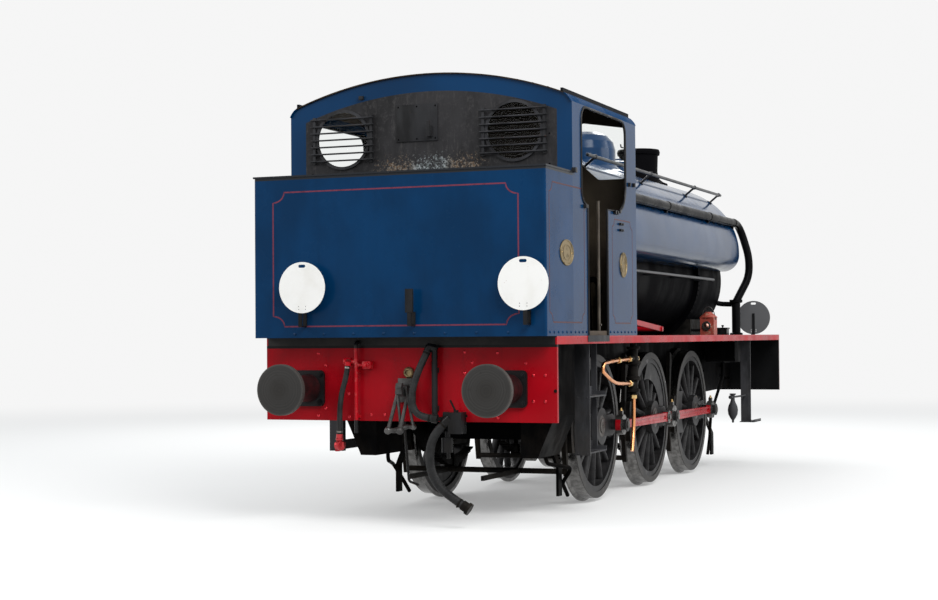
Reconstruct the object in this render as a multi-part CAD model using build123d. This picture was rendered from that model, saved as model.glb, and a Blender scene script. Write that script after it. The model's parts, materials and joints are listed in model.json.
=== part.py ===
from build123d import *
import os
from math import cos, pi, radians, sin, tan

# A six-coupled steam locomotive with a saddle tank, standing on its wheel flanges.
# Millimetres. +X is the chimney end, +Y the left side and +Z up. X = 0 is the middle axle,
# which is also the middle of the length over the buffers.
# Heights in this file are above the rail head. save() lifts every node by the flange depth,
# so that the flange tips stand at Z = 0.

# Wheels and rods
FLANGE_DEPTH = 28.0
TREAD_R = 647.5
TYRE_THICKNESS = 60.0
TYRE_WIDTH = 140.0
BACK_TO_BACK = 1360.0
WHEEL_INNER_Y = BACK_TO_BACK / 2
AXLE_X = {"rear": -1753.0, "middle": 0.0, "front": 1600.0}
AXLE_Z = TREAD_R
AXLE_R = 95.0
RIM_DEPTH = 48.0
SPOKES = 14
WEIGHT_SHIFT = 120.0  # between the centres of the balance weight's outer and inner arcs
CRANK_R = 300.0
CRANKPIN_R = 48.0
ECCENTRICITY = 80.0
ROD_INNER_Y = 922.0
ROD_THICKNESS = 58.0
PIN_CLEARANCE = 1.0
RIGHT_PIN_ANGLE = 0.0
LEFT_PIN_ANGLE = 90.0

# Frames and buffer beams
FRAME_INNER_Y = 622.5
FRAME_THICKNESS = 28.5
FRAME_OUTER_Y = FRAME_INNER_Y + FRAME_THICKNESS
BEAM_X = 4115.0
BEAM_THICKNESS = 32.0
FRAME_END_X = BEAM_X - BEAM_THICKNESS
HORN_HALF = 155.0
BEAM_BOTTOM_Z = 795.0
BEAM_TOP_Z = 1397.0
HALF_WIDTH = 1256.0
BUFFER_Y = 870.0
BUFFER_Z = 1054.0
BUFFER_REACH = 508.0
BUFFER_HEAD_R = 201.3
BUFFER_WORN = 2.0  # flat rubbed on the crown of each head
DECK_Z = 1461.0
DECK_THICKNESS = 10.0
FRAME_TOP_Z = DECK_Z - DECK_THICKNESS

# Cab and bunker
SHEET = 8.0
CAB_HALF = 1250.0
CAB_BACK_X = -3685.0
CAB_FRONT_X = -1925.0
BUNKER_BACK_X = -4330.0
BUNKER_TOP_Z = 2750.0
ROOF_TOP_Z = 3617.0
ROOF_SHOULDER_Y = 1165.0
ROOF_SHOULDER_Z = 3405.0
EAVE_Z = 3320.0
DOOR_REAR_X = -3310.0
DOOR_FRONT_X = -2780.0
SILL_Z = 2520.0
WINDOW_REAR_X = -3465.0
WINDOW_FRONT_X = -2245.0
WINDOW_TOP_Z = 3310.0
SPECTACLE_R = 228.0
SPECTACLE_Y = 760.0
SPECTACLE_Z = 3110.0
WINDOW_FRAME_WIDTH = 22.0
WINDOW_FRAME_LAP = 2.0
WINDOW_FRAME_DEPTH = 14.0
GUARD_BARS = 7
GUARD_PITCH = 58.0
FRONT_WINDOW_R = 50.0
FRONT_WINDOW = [
    # y, z of the corners, clear of the tank and along the roof
    (905.0, 2850.0), (1170.0, 2850.0), (1170.0, 3303.0), (720.0, 3375.0), (720.0, 3015.0),
]
ROOF_OVERHANG = 20.0
RAIN_STRIP_Y = 1172.0
RAIN_STRIP_WIDTH = 20.0
RAIN_STRIP_TOP_Z = 3428.0
CAB_FLOOR_THICKNESS = 40.0

# Cab steps
STEP_REAR_X = -3100.0
STEP_FRONT_X = -2660.0
STEP_INNER_Y = 1060.0
STEP_OUTER_Y = 1190.0
STEP_BOTTOM_Z = 478.0
STEP_TREADS_Z = [505.0, 966.0]

# Boiler, smokebox and tank
BOILER_Z = 2100.0
BOILER_R = 680.0
SMOKEBOX_R = 735.0
SMOKEBOX_REAR_X = 2290.0
SMOKEBOX_FRONT_X = 3340.0
FIREBOX_REAR_X = -2520.0
FIREBOX_FRONT_X = -760.0
FIREBOX_HALF = 560.0
TANK_FRONT_X = 3300.0
TANK_HALF = 965.0
TANK_WAIST_Z = 2420.0
TANK_TOP_Z = 3220.0
TANK_BOTTOM_Z = 2205.0
TANK_CORNER_R = 190.0
TANK_GAP = 20.0
CHIMNEY_X = 2450.0
CHIMNEY_TOP_Z = 3590.0
FILLER_X = 1450.0
DOME_X = 450.0
SAFETY_VALVE_X = -1400.0
DOOR_R = 600.0
DOOR_HINGE_X = SMOKEBOX_FRONT_X + 62.0
DOOR_HINGE_Y = 672.0
CHIMNEY_OUTER_R = 215.0
CHIMNEY_BORE_R = 165.0
DOOR_BACK_X = SMOKEBOX_FRONT_X + 2.0
FILLER_R = 200.0
FILLER_TOP_Z = 3330.0
LID_GAP = 2.0
LID_HINGE_X = FILLER_X - FILLER_R - 66.0
LID_HINGE_Z = FILLER_TOP_Z + 14.0
SADDLE_TOP_Z = 1640.0
CHIMNEY_ROWS = [
    # radius, z
    (CHIMNEY_OUTER_R, 3100), (330, 3100), (330, 3196), (286, 3214), (244, 3246), (224, 3290), (216, 3340),
    (222, CHIMNEY_TOP_Z - 66), (240, CHIMNEY_TOP_Z - 60), (246, CHIMNEY_TOP_Z - 30), (236, CHIMNEY_TOP_Z),
    (CHIMNEY_BORE_R, CHIMNEY_TOP_Z), (CHIMNEY_BORE_R, 3100),
]
DOME_ROWS = [
    # radius, z
    (0, 3000), (440, 3000), (440, 3150), (390, 3172), (340, 3215), (322, 3270), (322, 3390), (300, 3470),
    (240, 3535), (150, 3572), (0, 3585),
]

# Handrails along the tank and the boiler, and the ejector pipe on the right of the tank
TANK_RAIL_Y = 760.0
TANK_RAIL_Z = 3100.0
TANK_RAIL_FOOT_Y = 640.0
TANK_RAIL_FOOT_Z = 3002.0
TANK_RAIL_R = 16.0
TANK_RAIL_POSTS = [-1560.0, 282.0, 2037.0, 3150.0]
SIDE_RAIL_Y = 905.0
SIDE_RAIL_Z = 2080.0
SIDE_RAIL_POSTS = [-1700.0, -700.0, 300.0, 1300.0, 2240.0]
EJECTOR_R = 45.0
EJECTOR_BEND = 150.0
EJECTOR_Y = -925.0
EJECTOR_Z = 2770.0
EJECTOR_ROUTE = [
    (CAB_FRONT_X, EJECTOR_Y, EJECTOR_Z), (3490, EJECTOR_Y, EJECTOR_Z), (3530, -1030, 2380),
    (3520, -1030, 2150), (3400, -905, 1858),
]
EJECTOR_BRACKETS = [-1600.0, 300.0, 2030.0, 3200.0]

# Sandboxes. The rear ones are hoppers drawn in towards the foot
FRONT_SAND_X = 2850.0
REAR_SAND_X0 = -3300.0
REAR_SAND_X1 = -2750.0
REAR_SAND_ROWS = [
    # y, z
    (655, FRAME_TOP_Z), (950, FRAME_TOP_Z), (950, 800), (880, 645), (800, 460), (655, 460),
]
SAND_PIPE_R = 17.0
FRONT_SAND_PIPE = [
    (2850, 860, 1150), (2850, 860, 980), (2640, 770, 560), (2640, 752, 300), (2550, 750, 110),
]
REAR_SAND_PIPE = [
    (-2900, 730, 470), (-2900, 730, 390), (-2545, 840, 330), (-2545, 752, 200), (-2400, 750, 80),
]

# Discs, injectors and the hoses on the back beam. Routes are hand-picked centreline points
DISC_R = 203.0
DISC_THICKNESS = 5.0
REAR_DISCS = [(770.0, 1860.0), (-1097.0, 1860.0)]
FRONT_DISCS = [(950.0, 1670.0), (-950.0, 1670.0)]
HOOK_Z = 1040.0
INJECTOR_X = -1580.0
INJECTOR_Y = 1110.0
VACUUM_X = -4173.0
VACUUM_Y = -262.0
AIR_HOSE_D = 44.0
AIR_HOSE = [
    (-4200, 480, 1236), (-4206, 492, 1140), (-4222, 520, 1040), (-4230, 535, 925), (-4230, 540, 800),
    (-4222, 545, 690),
]
VACUUM_HOSE_D = 58.0
VACUUM_HOSE = [
    (-4196, -212, 1352), (-4212, -176, 1268), (-4236, -140, 1172), (-4250, -108, 1066), (-4252, -96, 962),
    (-4246, -122, 876), (-4236, -186, 836), (-4228, -262, 826),
]
HEATING_HOSE_D = 70.0
HEATING_HOSE = [
    (-4205, -360, 788), (-4218, -304, 734), (-4230, -258, 650), (-4238, -240, 540), (-4238, -252, 415),
    (-4234, -310, 305), (-4230, -405, 225), (-4224, -510, 160),
]
DRIP_PIPE_R = 10.0
DRIP_PIPE = [(-4100, 30, 795), (-4100, 30, 740), (-4100, -3, 321), (-4100, -89, 292)]
AIR_PIPE_Y = 420.0
AIR_PIPE_R = 15.0

# Screw coupling at the back, hung up on its own hook: the ends of its bars
HOOK_PIN_X = 78.0
SHACKLE_R = 15.0
SHACKLE_ARMS = [
    # upper end, lower end
    ((-4193, 45, 1026), (-4235, 115, 727)),
    ((-4193, -45, 1026), (-4235, 12, 727)),
]
END_LINK_R = 12.0
END_LINK_ARMS = [
    # upper end, lower end
    ((-4227, 40, 1061), (-4175, 30, 755)),
    ((-4227, -40, 1061), (-4175, -78, 755)),
]


def save(shape, node):
    """Write one node, lifted so that the flange tips stand on Z = 0."""
    export_step(Pos(0, 0, FLANGE_DEPTH) * shape, f"parts/{node}.step")


def box(x0, x1, y0, y1, z0, z1):
    """Block between two opposite corners."""
    middle = Pos((x0 + x1) / 2, (y0 + y1) / 2, (z0 + z1) / 2)
    return middle * Box(abs(x1 - x0), abs(y1 - y0), abs(z1 - z0))


def bar_x(x0, x1, y, z, r):
    """Round bar along X."""
    return Pos((x0 + x1) / 2, y, z) * Rot(0, 90, 0) * Cylinder(r, abs(x1 - x0))


def bar_y(y0, y1, x, z, r):
    """Round bar along Y."""
    return Pos(x, (y0 + y1) / 2, z) * Rot(90, 0, 0) * Cylinder(r, abs(y1 - y0))


def bar_z(z0, z1, x, y, r):
    """Upright round bar."""
    return Pos(x, y, (z0 + z1) / 2) * Cylinder(r, abs(z1 - z0))


def side_plate(profile, y0, y1):
    """Sketch drawn in X and Z, as a plate between two Y values."""
    return Pos(0, max(y0, y1), 0) * extrude(Plane.XZ * profile, amount=abs(y1 - y0), dir=(0, -1, 0))


def cross_plate(profile, x0, x1):
    """Sketch drawn in Y and Z, as a plate between two X values."""
    return Pos(min(x0, x1), 0, 0) * extrude(Plane.YZ * profile, amount=abs(x1 - x0), dir=(1, 0, 0))


def turned(points):
    """Round body about Z from an outline of (radius, height) points."""
    return revolve(Plane.XZ * Polygon(*points, align=None), Axis.Z)


def both_sides(shape):
    """A shape and its mirror image on the other side of the locomotive."""
    return [shape, mirror(shape, about=Plane.XZ)]


def rounded_pipe(points, r, bend):
    """Round pipe along points, with the same bend at every corner."""
    path = FilletPolyline(*points, radius=bend)
    return sweep(Plane(path @ 0, z_dir=path % 0) * Circle(r), path=path)


def hose_radii(points):
    """Bend at each corner: 0.45 of the shorter run over the tangent of half the turn."""
    spots = [Vector(*point) for point in points]
    radii = []
    for before, corner, after in zip(spots, spots[1:], spots[2:]):
        run_in = corner - before
        run_out = after - corner
        half_turn = radians(run_in.get_angle(run_out)) / 2
        radii.append(0.45 * min(run_in.length, run_out.length) / tan(half_turn))
    return radii


def hose_tube(name, points, d):
    """Hose of diameter d as straight runs joined by tangent arcs."""
    radii = hose_radii(points)
    path = FilletPolyline(*points, radius=radii)
    tube = sweep(Plane(path @ 0, z_dir=path % 0) * Circle(d / 2), path=path)
    print(name, "length", round(path.length), "radii", [round(r) for r in radii])
    print(name, "volume over section times length", round(tube.volume / (pi * d * d / 4 * path.length), 4))
    return tube


def round_link(a, b, r):
    """Round bar between two points, with a ball at each."""
    run = Vector(*b) - Vector(*a)
    bar = Plane(Vector(*a) + run * 0.5, z_dir=run) * Cylinder(r, run.length)
    return bar + Pos(*a) * Sphere(r) + Pos(*b) * Sphere(r)


def gland(start, next_point, r, length):
    """Round gland that ends face to face with a hose whose run goes from start to next_point."""
    run = (Vector(*next_point) - Vector(*start)).normalized()
    return Plane(Vector(*start) - run * (length / 2), z_dir=run) * Cylinder(r, length)


def behind(start, next_point, distance):
    """Point on the line of a hose's first run, that far back from its start."""
    run = (Vector(*next_point) - Vector(*start)).normalized()
    spot = Vector(*start) - run * distance
    return (spot.X, spot.Y, spot.Z)


# Wheels

def tyre():
    """Tyre about Y, its back face at Y = 0: flange, coned tread and bore."""
    bore_r = TREAD_R - TYRE_THICKNESS
    outline = [
        (bore_r, 0),
        (TREAD_R + FLANGE_DEPTH, 0),
        (TREAD_R + FLANGE_DEPTH, 14),
        (TREAD_R + 4, 34),
        (TREAD_R - 3, TYRE_WIDTH),
        (bore_r, TYRE_WIDTH),
    ]
    return Rot(-90, 0, 0) * turned(outline)


def wheel_centre(weight_turn, weight_half):
    """Left spoked centre about Y, its back face at Y = 0, its crankpin towards +X.

    The balance weight is turned from the pin by weight_turn, downwards, over weight_half to each side.
    """
    rim_outer = TREAD_R - TYRE_THICKNESS
    rim_inner = rim_outer - RIM_DEPTH
    rim = Cylinder(rim_outer, 112) - Cylinder(rim_inner, 112)
    rim = Pos(0, 0, 76) * rim
    hub = Pos(0, 0, 92) * Cylinder(165, 184)
    centre = rim + hub
    spoke_rows = [(150, 62, 50), (rim_inner + 10, 44, 34)]
    sections = []
    for reach, width, depth in spoke_rows:
        sections.append(Plane((reach, 0, 76), z_dir=(1, 0, 0)) * Ellipse(depth, width / 2))
    spoke = loft(sections)
    for i in range(SPOKES):
        centre += Rot(0, 0, (i + 0.5) * 360 / SPOKES) * spoke
    boss = Pos(CRANK_R, 0, 103) * Cylinder(100, 162)
    web = Pos(CRANK_R / 2, 0, 103) * Box(CRANK_R, 190, 162)
    centre += boss + web
    crescent = Cylinder(rim_inner + 6, 96) - Pos(-WEIGHT_SHIFT, 0, 0) * Cylinder(rim_inner - 60, 96)
    crescent &= Pos(rim_inner, 0, 0) * Box(2 * rim_inner, 2 * rim_inner * sin(radians(weight_half)), 96)
    centre += Rot(0, 0, weight_turn) * Pos(0, 0, 76) * crescent
    pin_base = 184
    pin_end = ROD_INNER_Y + ROD_THICKNESS + 24 - WHEEL_INNER_Y
    pin = Pos(CRANK_R, 0, (pin_base + pin_end) / 2) * Cylinder(CRANKPIN_R, pin_end - pin_base)
    cap = Pos(CRANK_R, 0, pin_end + 6) * Cylinder(CRANKPIN_R + 14, 12)
    centre += pin + cap
    axle_hole = Cylinder(AXLE_R, 400)
    return Rot(-90, 0, 0) * (centre - axle_hole)


# Frames

def frame_plate():
    """Right side of a main frame: horn gaps, lightening holes, ends raised behind the beams."""
    foot = 430.0
    outline = Polygon(
        (-FRAME_END_X, FRAME_TOP_Z),
        (-FRAME_END_X, 830),
        (-2760, 830),
        (-2330, foot),
        (-1290, foot),
        (-1160, 600),
        (-560, 600),
        (-430, foot),
        (430, foot),
        (540, 600),
        (1070, 600),
        (1180, foot),
        (2100, foot),
        (2420, 800),
        (FRAME_END_X, 830),
        (FRAME_END_X, FRAME_TOP_Z),
        align=None,
    )
    for x in AXLE_X.values():
        outline -= Pos(x, (foot + 900) / 2 - 20) * Rectangle(2 * HORN_HALF, 900 - foot + 40)
    for x, length in [(-875, 620), (800, 420), (-3300, 560)]:
        outline -= Pos(x, 1120) * SlotOverall(length, 230)
    return side_plate(outline, FRAME_INNER_Y, FRAME_OUTER_Y)


def axlebox(x):
    """Axlebox on the left frame, in its horns, with its bore round the journal."""
    body = box(x - HORN_HALF, x + HORN_HALF, 516, 672, 470, 860)
    body -= bar_y(500, 680, x, AXLE_Z, AXLE_R + 0.5)
    return body


def leaf_spring(x):
    """Underhung leaf spring of the left side, with its buckle and hanger."""
    spring = None
    radius = 1500.0
    for i, half_span in enumerate([450, 385, 320, 255, 190]):
        inner = radius + 13 * i
        outer = inner + 13
        ring = Circle(outer) - Circle(inner)
        wedge = Pos(0, -radius) * Rectangle(2 * half_span, 400)
        leaf = ring & wedge
        spring = leaf if spring is None else spring + leaf
    spring = side_plate(Pos(x, 345 + radius) * spring, 570, 650)
    buckle = box(x - 50, x + 50, 560, 660, 250, 360)
    hanger = box(x - 22, x + 22, 588, 632, 355, 470)
    return spring + buckle + hanger


def brake_block(x):
    """Brake block behind a left wheel at x, with its hanger from the frame."""
    shoe = Circle(TREAD_R + 70) - Circle(TREAD_R + 8)
    shoe &= Pos(-TREAD_R - 30, -10) * Rectangle(200, 380)
    block = side_plate(Pos(x, AXLE_Z) * shoe, 716, 812)
    hanger = Polygon(
        (x - 716, 250), (x - 676, 250), (x - 712, 470), (x - 712, 760), (x - 640, 1250), (x - 700, 1290),
        (x - 760, 760), (x - 760, 470), align=None)
    return block + side_plate(hanger, 735, 775)


# Cab outline, shared by the sheets and the roof

def roof_line(inset):
    """Roof section from eave to eave, moved inwards by inset, closed along the eaves' height."""
    half = CAB_HALF - inset
    top = ROOF_TOP_Z - inset
    shoulder_y = ROOF_SHOULDER_Y - 0.25 * inset
    shoulder_z = ROOF_SHOULDER_Z - inset
    crown = ThreePointArc((-shoulder_y, shoulder_z), (0, top), (shoulder_y, shoulder_z))
    tangent = crown % 1
    right = TangentArc((shoulder_y, shoulder_z), (half, EAVE_Z), tangent=tangent)
    left = mirror(right, about=Plane.YZ)
    foot = Line((-half, EAVE_Z), (half, EAVE_Z))
    return make_face(crown + right + left + foot)


def end_sheet_outline(bottom_z):
    """Cab end sheet from bottom_z up to the underside of the roof."""
    half = CAB_HALF - SHEET
    lower = Pos(0, (bottom_z + EAVE_Z) / 2) * Rectangle(2 * half, EAVE_Z - bottom_z)
    return lower + roof_line(SHEET)


def side_opening():
    """Doorway with the wider window above it, as one opening in the side sheet."""
    door_length = DOOR_FRONT_X - DOOR_REAR_X
    door_middle = (DOOR_FRONT_X + DOOR_REAR_X) / 2
    door = Pos(door_middle, (DECK_Z + SILL_Z) / 2) * Rectangle(door_length, SILL_Z - DECK_Z + 20)
    lower_r, rear_r, upper_r = 230.0, 120.0, 120.0
    a, b = WINDOW_REAR_X, WINDOW_FRONT_X
    c, d = SILL_Z, WINDOW_TOP_Z
    window = Pos((a + b) / 2, (c + d) / 2) * Rectangle(b - a, d - c)
    corners = window.vertices().sort_by(Axis.X)
    front_low, front_high = corners[2:].sort_by(Axis.Y)
    rear_low, rear_high = corners[:2].sort_by(Axis.Y)
    window = fillet([rear_high, front_high], upper_r)
    corners = window.vertices().sort_by(Axis.Y)
    low = corners[:2].sort_by(Axis.X)
    window = fillet(low[0], rear_r)
    low = window.vertices().sort_by(Axis.Y)[:2].sort_by(Axis.X)
    window = fillet(low[-1], lower_r)
    return window + door


def tank_section():
    """Saddle tank: half ellipse over a straight skirt with rounded lower corners."""
    skirt_middle = (TANK_BOTTOM_Z + TANK_WAIST_Z) / 2
    skirt = Pos(0, skirt_middle) * Rectangle(2 * TANK_HALF, TANK_WAIST_Z - TANK_BOTTOM_Z)
    low = skirt.vertices().sort_by(Axis.Y)[:2]
    skirt = fillet(low, TANK_CORNER_R)
    dome = Pos(0, TANK_WAIST_Z) * Ellipse(TANK_HALF, TANK_TOP_Z - TANK_WAIST_Z)
    dome &= Pos(0, TANK_TOP_Z) * Rectangle(3 * TANK_HALF, 2 * (TANK_TOP_Z - TANK_WAIST_Z))
    return skirt + dome


def firebox_section():
    """Round-topped firebox, drawn in to pass down between the frames."""
    low_z = 930.0
    sides = Polygon(
        (-BOILER_R, BOILER_Z),
        (-FIREBOX_HALF, 1500),
        (-FIREBOX_HALF, low_z),
        (FIREBOX_HALF, low_z),
        (FIREBOX_HALF, 1500),
        (BOILER_R, BOILER_Z),
        align=None,
    )
    return sides + Pos(0, BOILER_Z) * Circle(BOILER_R)


def tank_body():
    """Tank as one body over the boiler and smokebox, before its openings are cut."""
    back, front = CAB_FRONT_X, TANK_FRONT_X
    body = cross_plate(tank_section(), back, front)
    body -= bar_x(back - 10, SMOKEBOX_REAR_X, 0, BOILER_Z, BOILER_R + TANK_GAP)
    body -= bar_x(SMOKEBOX_REAR_X - TANK_GAP, front + 10, 0, BOILER_Z, SMOKEBOX_R + TANK_GAP)
    return body


def dished_front(r, edge_x, dish):
    """Disc about X with a flat back at X = 0, a short edge and a dished front."""
    profile_radius = (r * r + dish * dish) / (2 * dish)
    ball = Pos(edge_x + dish - profile_radius, 0, 0) * Sphere(profile_radius)
    disc = Pos((edge_x + dish) / 2, 0, 0) * Rot(0, 90, 0) * Cylinder(r, edge_x + dish)
    return disc & ball


def disc_with_slot():
    """Head-code disc facing -X about the origin, with its lifting slot and small holes."""
    disc = Circle(DISC_R) - Pos(0, DISC_R - 33) * SlotOverall(62, 25)
    for y, z in [(-30, -150), (30, -150), (-30, -172), (30, -172)]:
        disc -= Pos(y, z) * Circle(4)
    return cross_plate(disc, -DISC_THICKNESS / 2, DISC_THICKNESS / 2)


os.makedirs("parts", exist_ok=True)

# Wheelsets

tyre_left = Pos(0, WHEEL_INNER_Y, 0) * tyre()
wheel_rows = [
    # name, half angle of the balance weight, its turn from the pin on the left and on the right
    ("rear", 24.0, 180.0, 180.0),
    ("middle", 42.0, 55.0, -55.0),
    ("front", 24.0, 180.0, 180.0),
]
for name, weight_half, left_turn, right_turn in wheel_rows:
    x = AXLE_X[name]
    place = Pos(x, 0, AXLE_Z)
    save(place * Compound(both_sides(tyre_left)), f"tyres_{name}")
    seat = Pos(0, WHEEL_INNER_Y, 0)
    left = Rot(0, -LEFT_PIN_ANGLE, 0) * seat * wheel_centre(left_turn, weight_half)
    right = mirror(seat * wheel_centre(right_turn, weight_half), about=Plane.XZ)
    right = Rot(0, -RIGHT_PIN_ANGLE, 0) * right
    save(place * Compound([left, right]), f"wheel_centres_{name}")

axle_end = WHEEL_INNER_Y + 184
for name in ["rear", "front"]:
    save(bar_y(-axle_end, axle_end, AXLE_X[name], AXLE_Z, AXLE_R), f"axle_{name}")

# The crank axle carries two inside cranks at right angles and four eccentrics between them
crank_axle = bar_y(-axle_end, axle_end, 0, AXLE_Z, AXLE_R)
for y, angle in [(-350.0, 180.0), (350.0, 270.0)]:
    throw = 330.0
    web = Pos(throw / 2, 0, 0) * Box(throw, 96, 260) + Rot(90, 0, 0) * Cylinder(165, 96)
    web += Pos(throw, 0, 0) * Rot(90, 0, 0) * Cylinder(130, 96)
    pin = Pos(throw, 0, 0) * Rot(90, 0, 0) * Cylinder(95, 120)
    crank = Pos(0, -108, 0) * web + Pos(0, 108, 0) * web + pin
    crank_axle -= box(-200, 200, y - 60, y + 60, AXLE_Z - 200, AXLE_Z + 200)
    crank_axle += Pos(0, y, AXLE_Z) * Rot(0, -angle, 0) * crank
for y, angle in [(-130.0, 30.0), (-45.0, 150.0), (45.0, 240.0), (130.0, 330.0)]:
    sheave = Pos(ECCENTRICITY * cos(radians(angle)), y, AXLE_Z + ECCENTRICITY * sin(radians(angle)))
    crank_axle += sheave * Rot(90, 0, 0) * Cylinder(185, 62)
save(crank_axle, "axle_middle")


# Coupling rods, one body a side, in two lengths with a knuckle beside the middle pin

def coupling_rod(pin_x, pin_z):
    """Left coupling rod with its eyes at the three crankpins."""
    y0, y1 = ROD_INNER_Y, ROD_INNER_Y + ROD_THICKNESS
    rear_x, middle_x, front_x = (AXLE_X[name] + pin_x for name in ["rear", "middle", "front"])
    rod = side_plate(
        Polygon((rear_x, 34), (middle_x, 44), (front_x, 34), (front_x, -34), (middle_x, -44), (rear_x, -34),
                align=None),
        y0 + 9, y1 - 9)
    for x, r in [(rear_x, 92), (middle_x, 108), (front_x, 92)]:
        rod += bar_y(y0, y1, x, 0, r)
    knuckle_x = middle_x - 190
    rod += bar_y(y0, y1, knuckle_x, 0, 62) + bar_y(y0 + 4, y1 + 12, knuckle_x, 0, 26)
    for x0, x1 in [(rear_x + 150, knuckle_x - 110), (middle_x + 170, front_x - 150)]:
        flute = Pos((x0 + x1) / 2, 0) * SlotOverall(x1 - x0, 36)
        rod -= side_plate(flute, y1 - 17, y1)
        rod -= side_plate(flute, y0, y0 + 17)
    for x in [rear_x, middle_x, front_x]:
        rod -= bar_y(y0 - 5, y1 + 5, x, 0, CRANKPIN_R + PIN_CLEARANCE)
    for x, r in [(rear_x, 92), (middle_x, 108), (front_x, 92)]:
        oil_cup = Pos(x, (y0 + y1) / 2, r + 14) * Box(46, 34, 40)
        rod += oil_cup
    return Pos(0, 0, AXLE_Z + pin_z) * rod


save(coupling_rod(0.0, CRANK_R), "coupling_rod_left")
save(mirror(coupling_rod(CRANK_R, 0.0), about=Plane.XZ), "coupling_rod_right")

# Stretchers between the frames

stretchers = []
inner = FRAME_INNER_Y
motion_plate = box(840, 865, -inner, inner, 700, 1400)
for y in [-350, 350]:
    motion_plate -= box(800, 900, y - 170, y + 170, 760, 1200)
stretchers.append(motion_plate)
drag_rear = box(-FRAME_END_X, -3420, -inner, inner, 930, 955) + box(-3445, -3420, -inner, inner, 955, 1440)
drag_front = box(3560, FRAME_END_X, -inner, inner, 930, 955) + box(3560, 3585, -inner, inner, 955, 1440)
stretchers += [drag_rear, drag_front]
stretchers.append(box(-2680, -2655, -inner, inner, 850, 1440))
save(Compound(stretchers), "frame_stretchers")

guard = Polygon(
    (FRAME_OUTER_Y, 760), (673, 760), (673, 560), (762, 340), (762, 95), (738, 95), (738, 334),
    (FRAME_OUTER_Y, 548), align=None)
left_frame = frame_plate()
for x in [-2625, 2740]:
    left_frame += cross_plate(guard, x - 45, x + 45)
save(Compound(both_sides(left_frame)), "frame_plates")

springs = []
axleboxes = []
brakes = []
for x in AXLE_X.values():
    springs += both_sides(leaf_spring(x))
    axleboxes += both_sides(axlebox(x))
    brakes += both_sides(brake_block(x))
save(Compound(axleboxes), "axleboxes")
save(Compound(springs), "leaf_springs")

for x in AXLE_X.values():
    brakes.append(bar_y(-734, 734, x - 712, 290, 24))
for y in [-330, 330]:
    brakes.append(box(-3350, -2489, y - 12, y + 12, 270, 310))
save(Compound(brakes), "brake_gear")

# Cylinders between the frames, sloping up to the front, and the smokebox saddle above them

slope = 6.0
block = Pos(2500, 0, 960) * Rot(0, -slope, 0) * Box(700, 2 * inner - 60, 560)
for y in [-290, 290]:
    barrel = Pos(2500, y, 960) * Rot(0, 90 - slope, 0) * Cylinder(285, 820)
    block += barrel
block += box(2260, 2780, -inner, inner, 1000, 1300)
block &= box(1900, 3100, -inner, inner, 600, 1300)

block += box(2330, 3260, -inner, inner, 1300, SADDLE_TOP_Z) - bar_x(2300, 3300, 0, BOILER_Z, SMOKEBOX_R)

bars = []
for y in [-290, 290]:
    for dz in [-75, 75]:
        bars.append(Pos(1480, y, 853 + dz) * Rot(0, -slope, 0) * Box(1190, 80, 44))
bars = [slide & box(880, 2110, -inner, inner, 500, 1400) for slide in bars]
save(Compound([block] + bars), "cylinder_block")

# Buffer beams, deck and its edge angles

def beam(side):
    """Buffer beam plate of one end, side -1 at the back and 1 at the front."""
    x0, x1 = side * FRAME_END_X, side * BEAM_X
    plate = box(x0, x1, -HALF_WIDTH, HALF_WIDTH, BEAM_BOTTOM_Z, BEAM_TOP_Z)
    slot = box(x0 - 50 * side, x1 + 50 * side, -32, 32, HOOK_Z - 60, HOOK_Z + 60)
    return plate - slot


save(Compound([beam(-1), beam(1)]), "buffer_beams")

deck = box(-BEAM_X, BEAM_X, -HALF_WIDTH, HALF_WIDTH, FRAME_TOP_Z, DECK_Z)
deck -= box(-2560, SMOKEBOX_FRONT_X + 5, -600, 600, FRAME_TOP_Z - 5, DECK_Z + 5)
deck -= box(2330, 3260, -inner, inner, FRAME_TOP_Z - 5, DECK_Z + 5)
for side in [-1, 1]:
    x0, x1 = side * BEAM_X, side * (BEAM_X - 20)
    deck += box(x0, x1, -HALF_WIDTH + 14, HALF_WIDTH - 14, BEAM_TOP_Z, FRAME_TOP_Z)
save(deck, "running_plate")

valance = box(-BEAM_X, BEAM_X, HALF_WIDTH - 12, HALF_WIDTH, BEAM_TOP_Z, FRAME_TOP_Z)
save(Compound(both_sides(valance)), "valances")

# Buffers: a fixed housing with a bore for the plunger, and the head with its plunger

housings = []
heads = []
for side in [-1, 1]:
    for y in [-BUFFER_Y, BUFFER_Y]:
        outline = [(80, 0), (116, 0), (116, 30), (108, 60), (100, 285), (108, 290), (108, 315), (80, 315)]
        housing = turned(outline)
        flange = Box(290, 290, 26)
        flange = fillet(flange.edges().filter_by(Axis.Z), 40)
        housing += Pos(0, 0, 13) * flange - Cylinder(80, 100)
        tilt = Rot(0, 90 * side, 0)
        housings.append(Pos(side * BEAM_X, y, BUFFER_Z) * tilt * housing)
        crown = 9.0
        ball_r = (BUFFER_HEAD_R ** 2 + crown ** 2) / (2 * crown)
        head = Pos(0, 0, BUFFER_REACH - 24) * Cylinder(BUFFER_HEAD_R, 48)
        head &= Pos(0, 0, BUFFER_REACH + BUFFER_WORN - ball_r) * Sphere(ball_r)
        neck = turned([(0, 200), (74, 200), (74, 420), (100, 458), (140, 462), (0, 462)])
        heads.append(Pos(side * BEAM_X, y, BUFFER_Z) * tilt * (head + neck))
save(Compound(housings), "buffer_housings")
save(Compound(heads), "buffer_heads")

# Drawhooks with their screw couplings: hung up on the hook at the back, hanging free at the front

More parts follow.
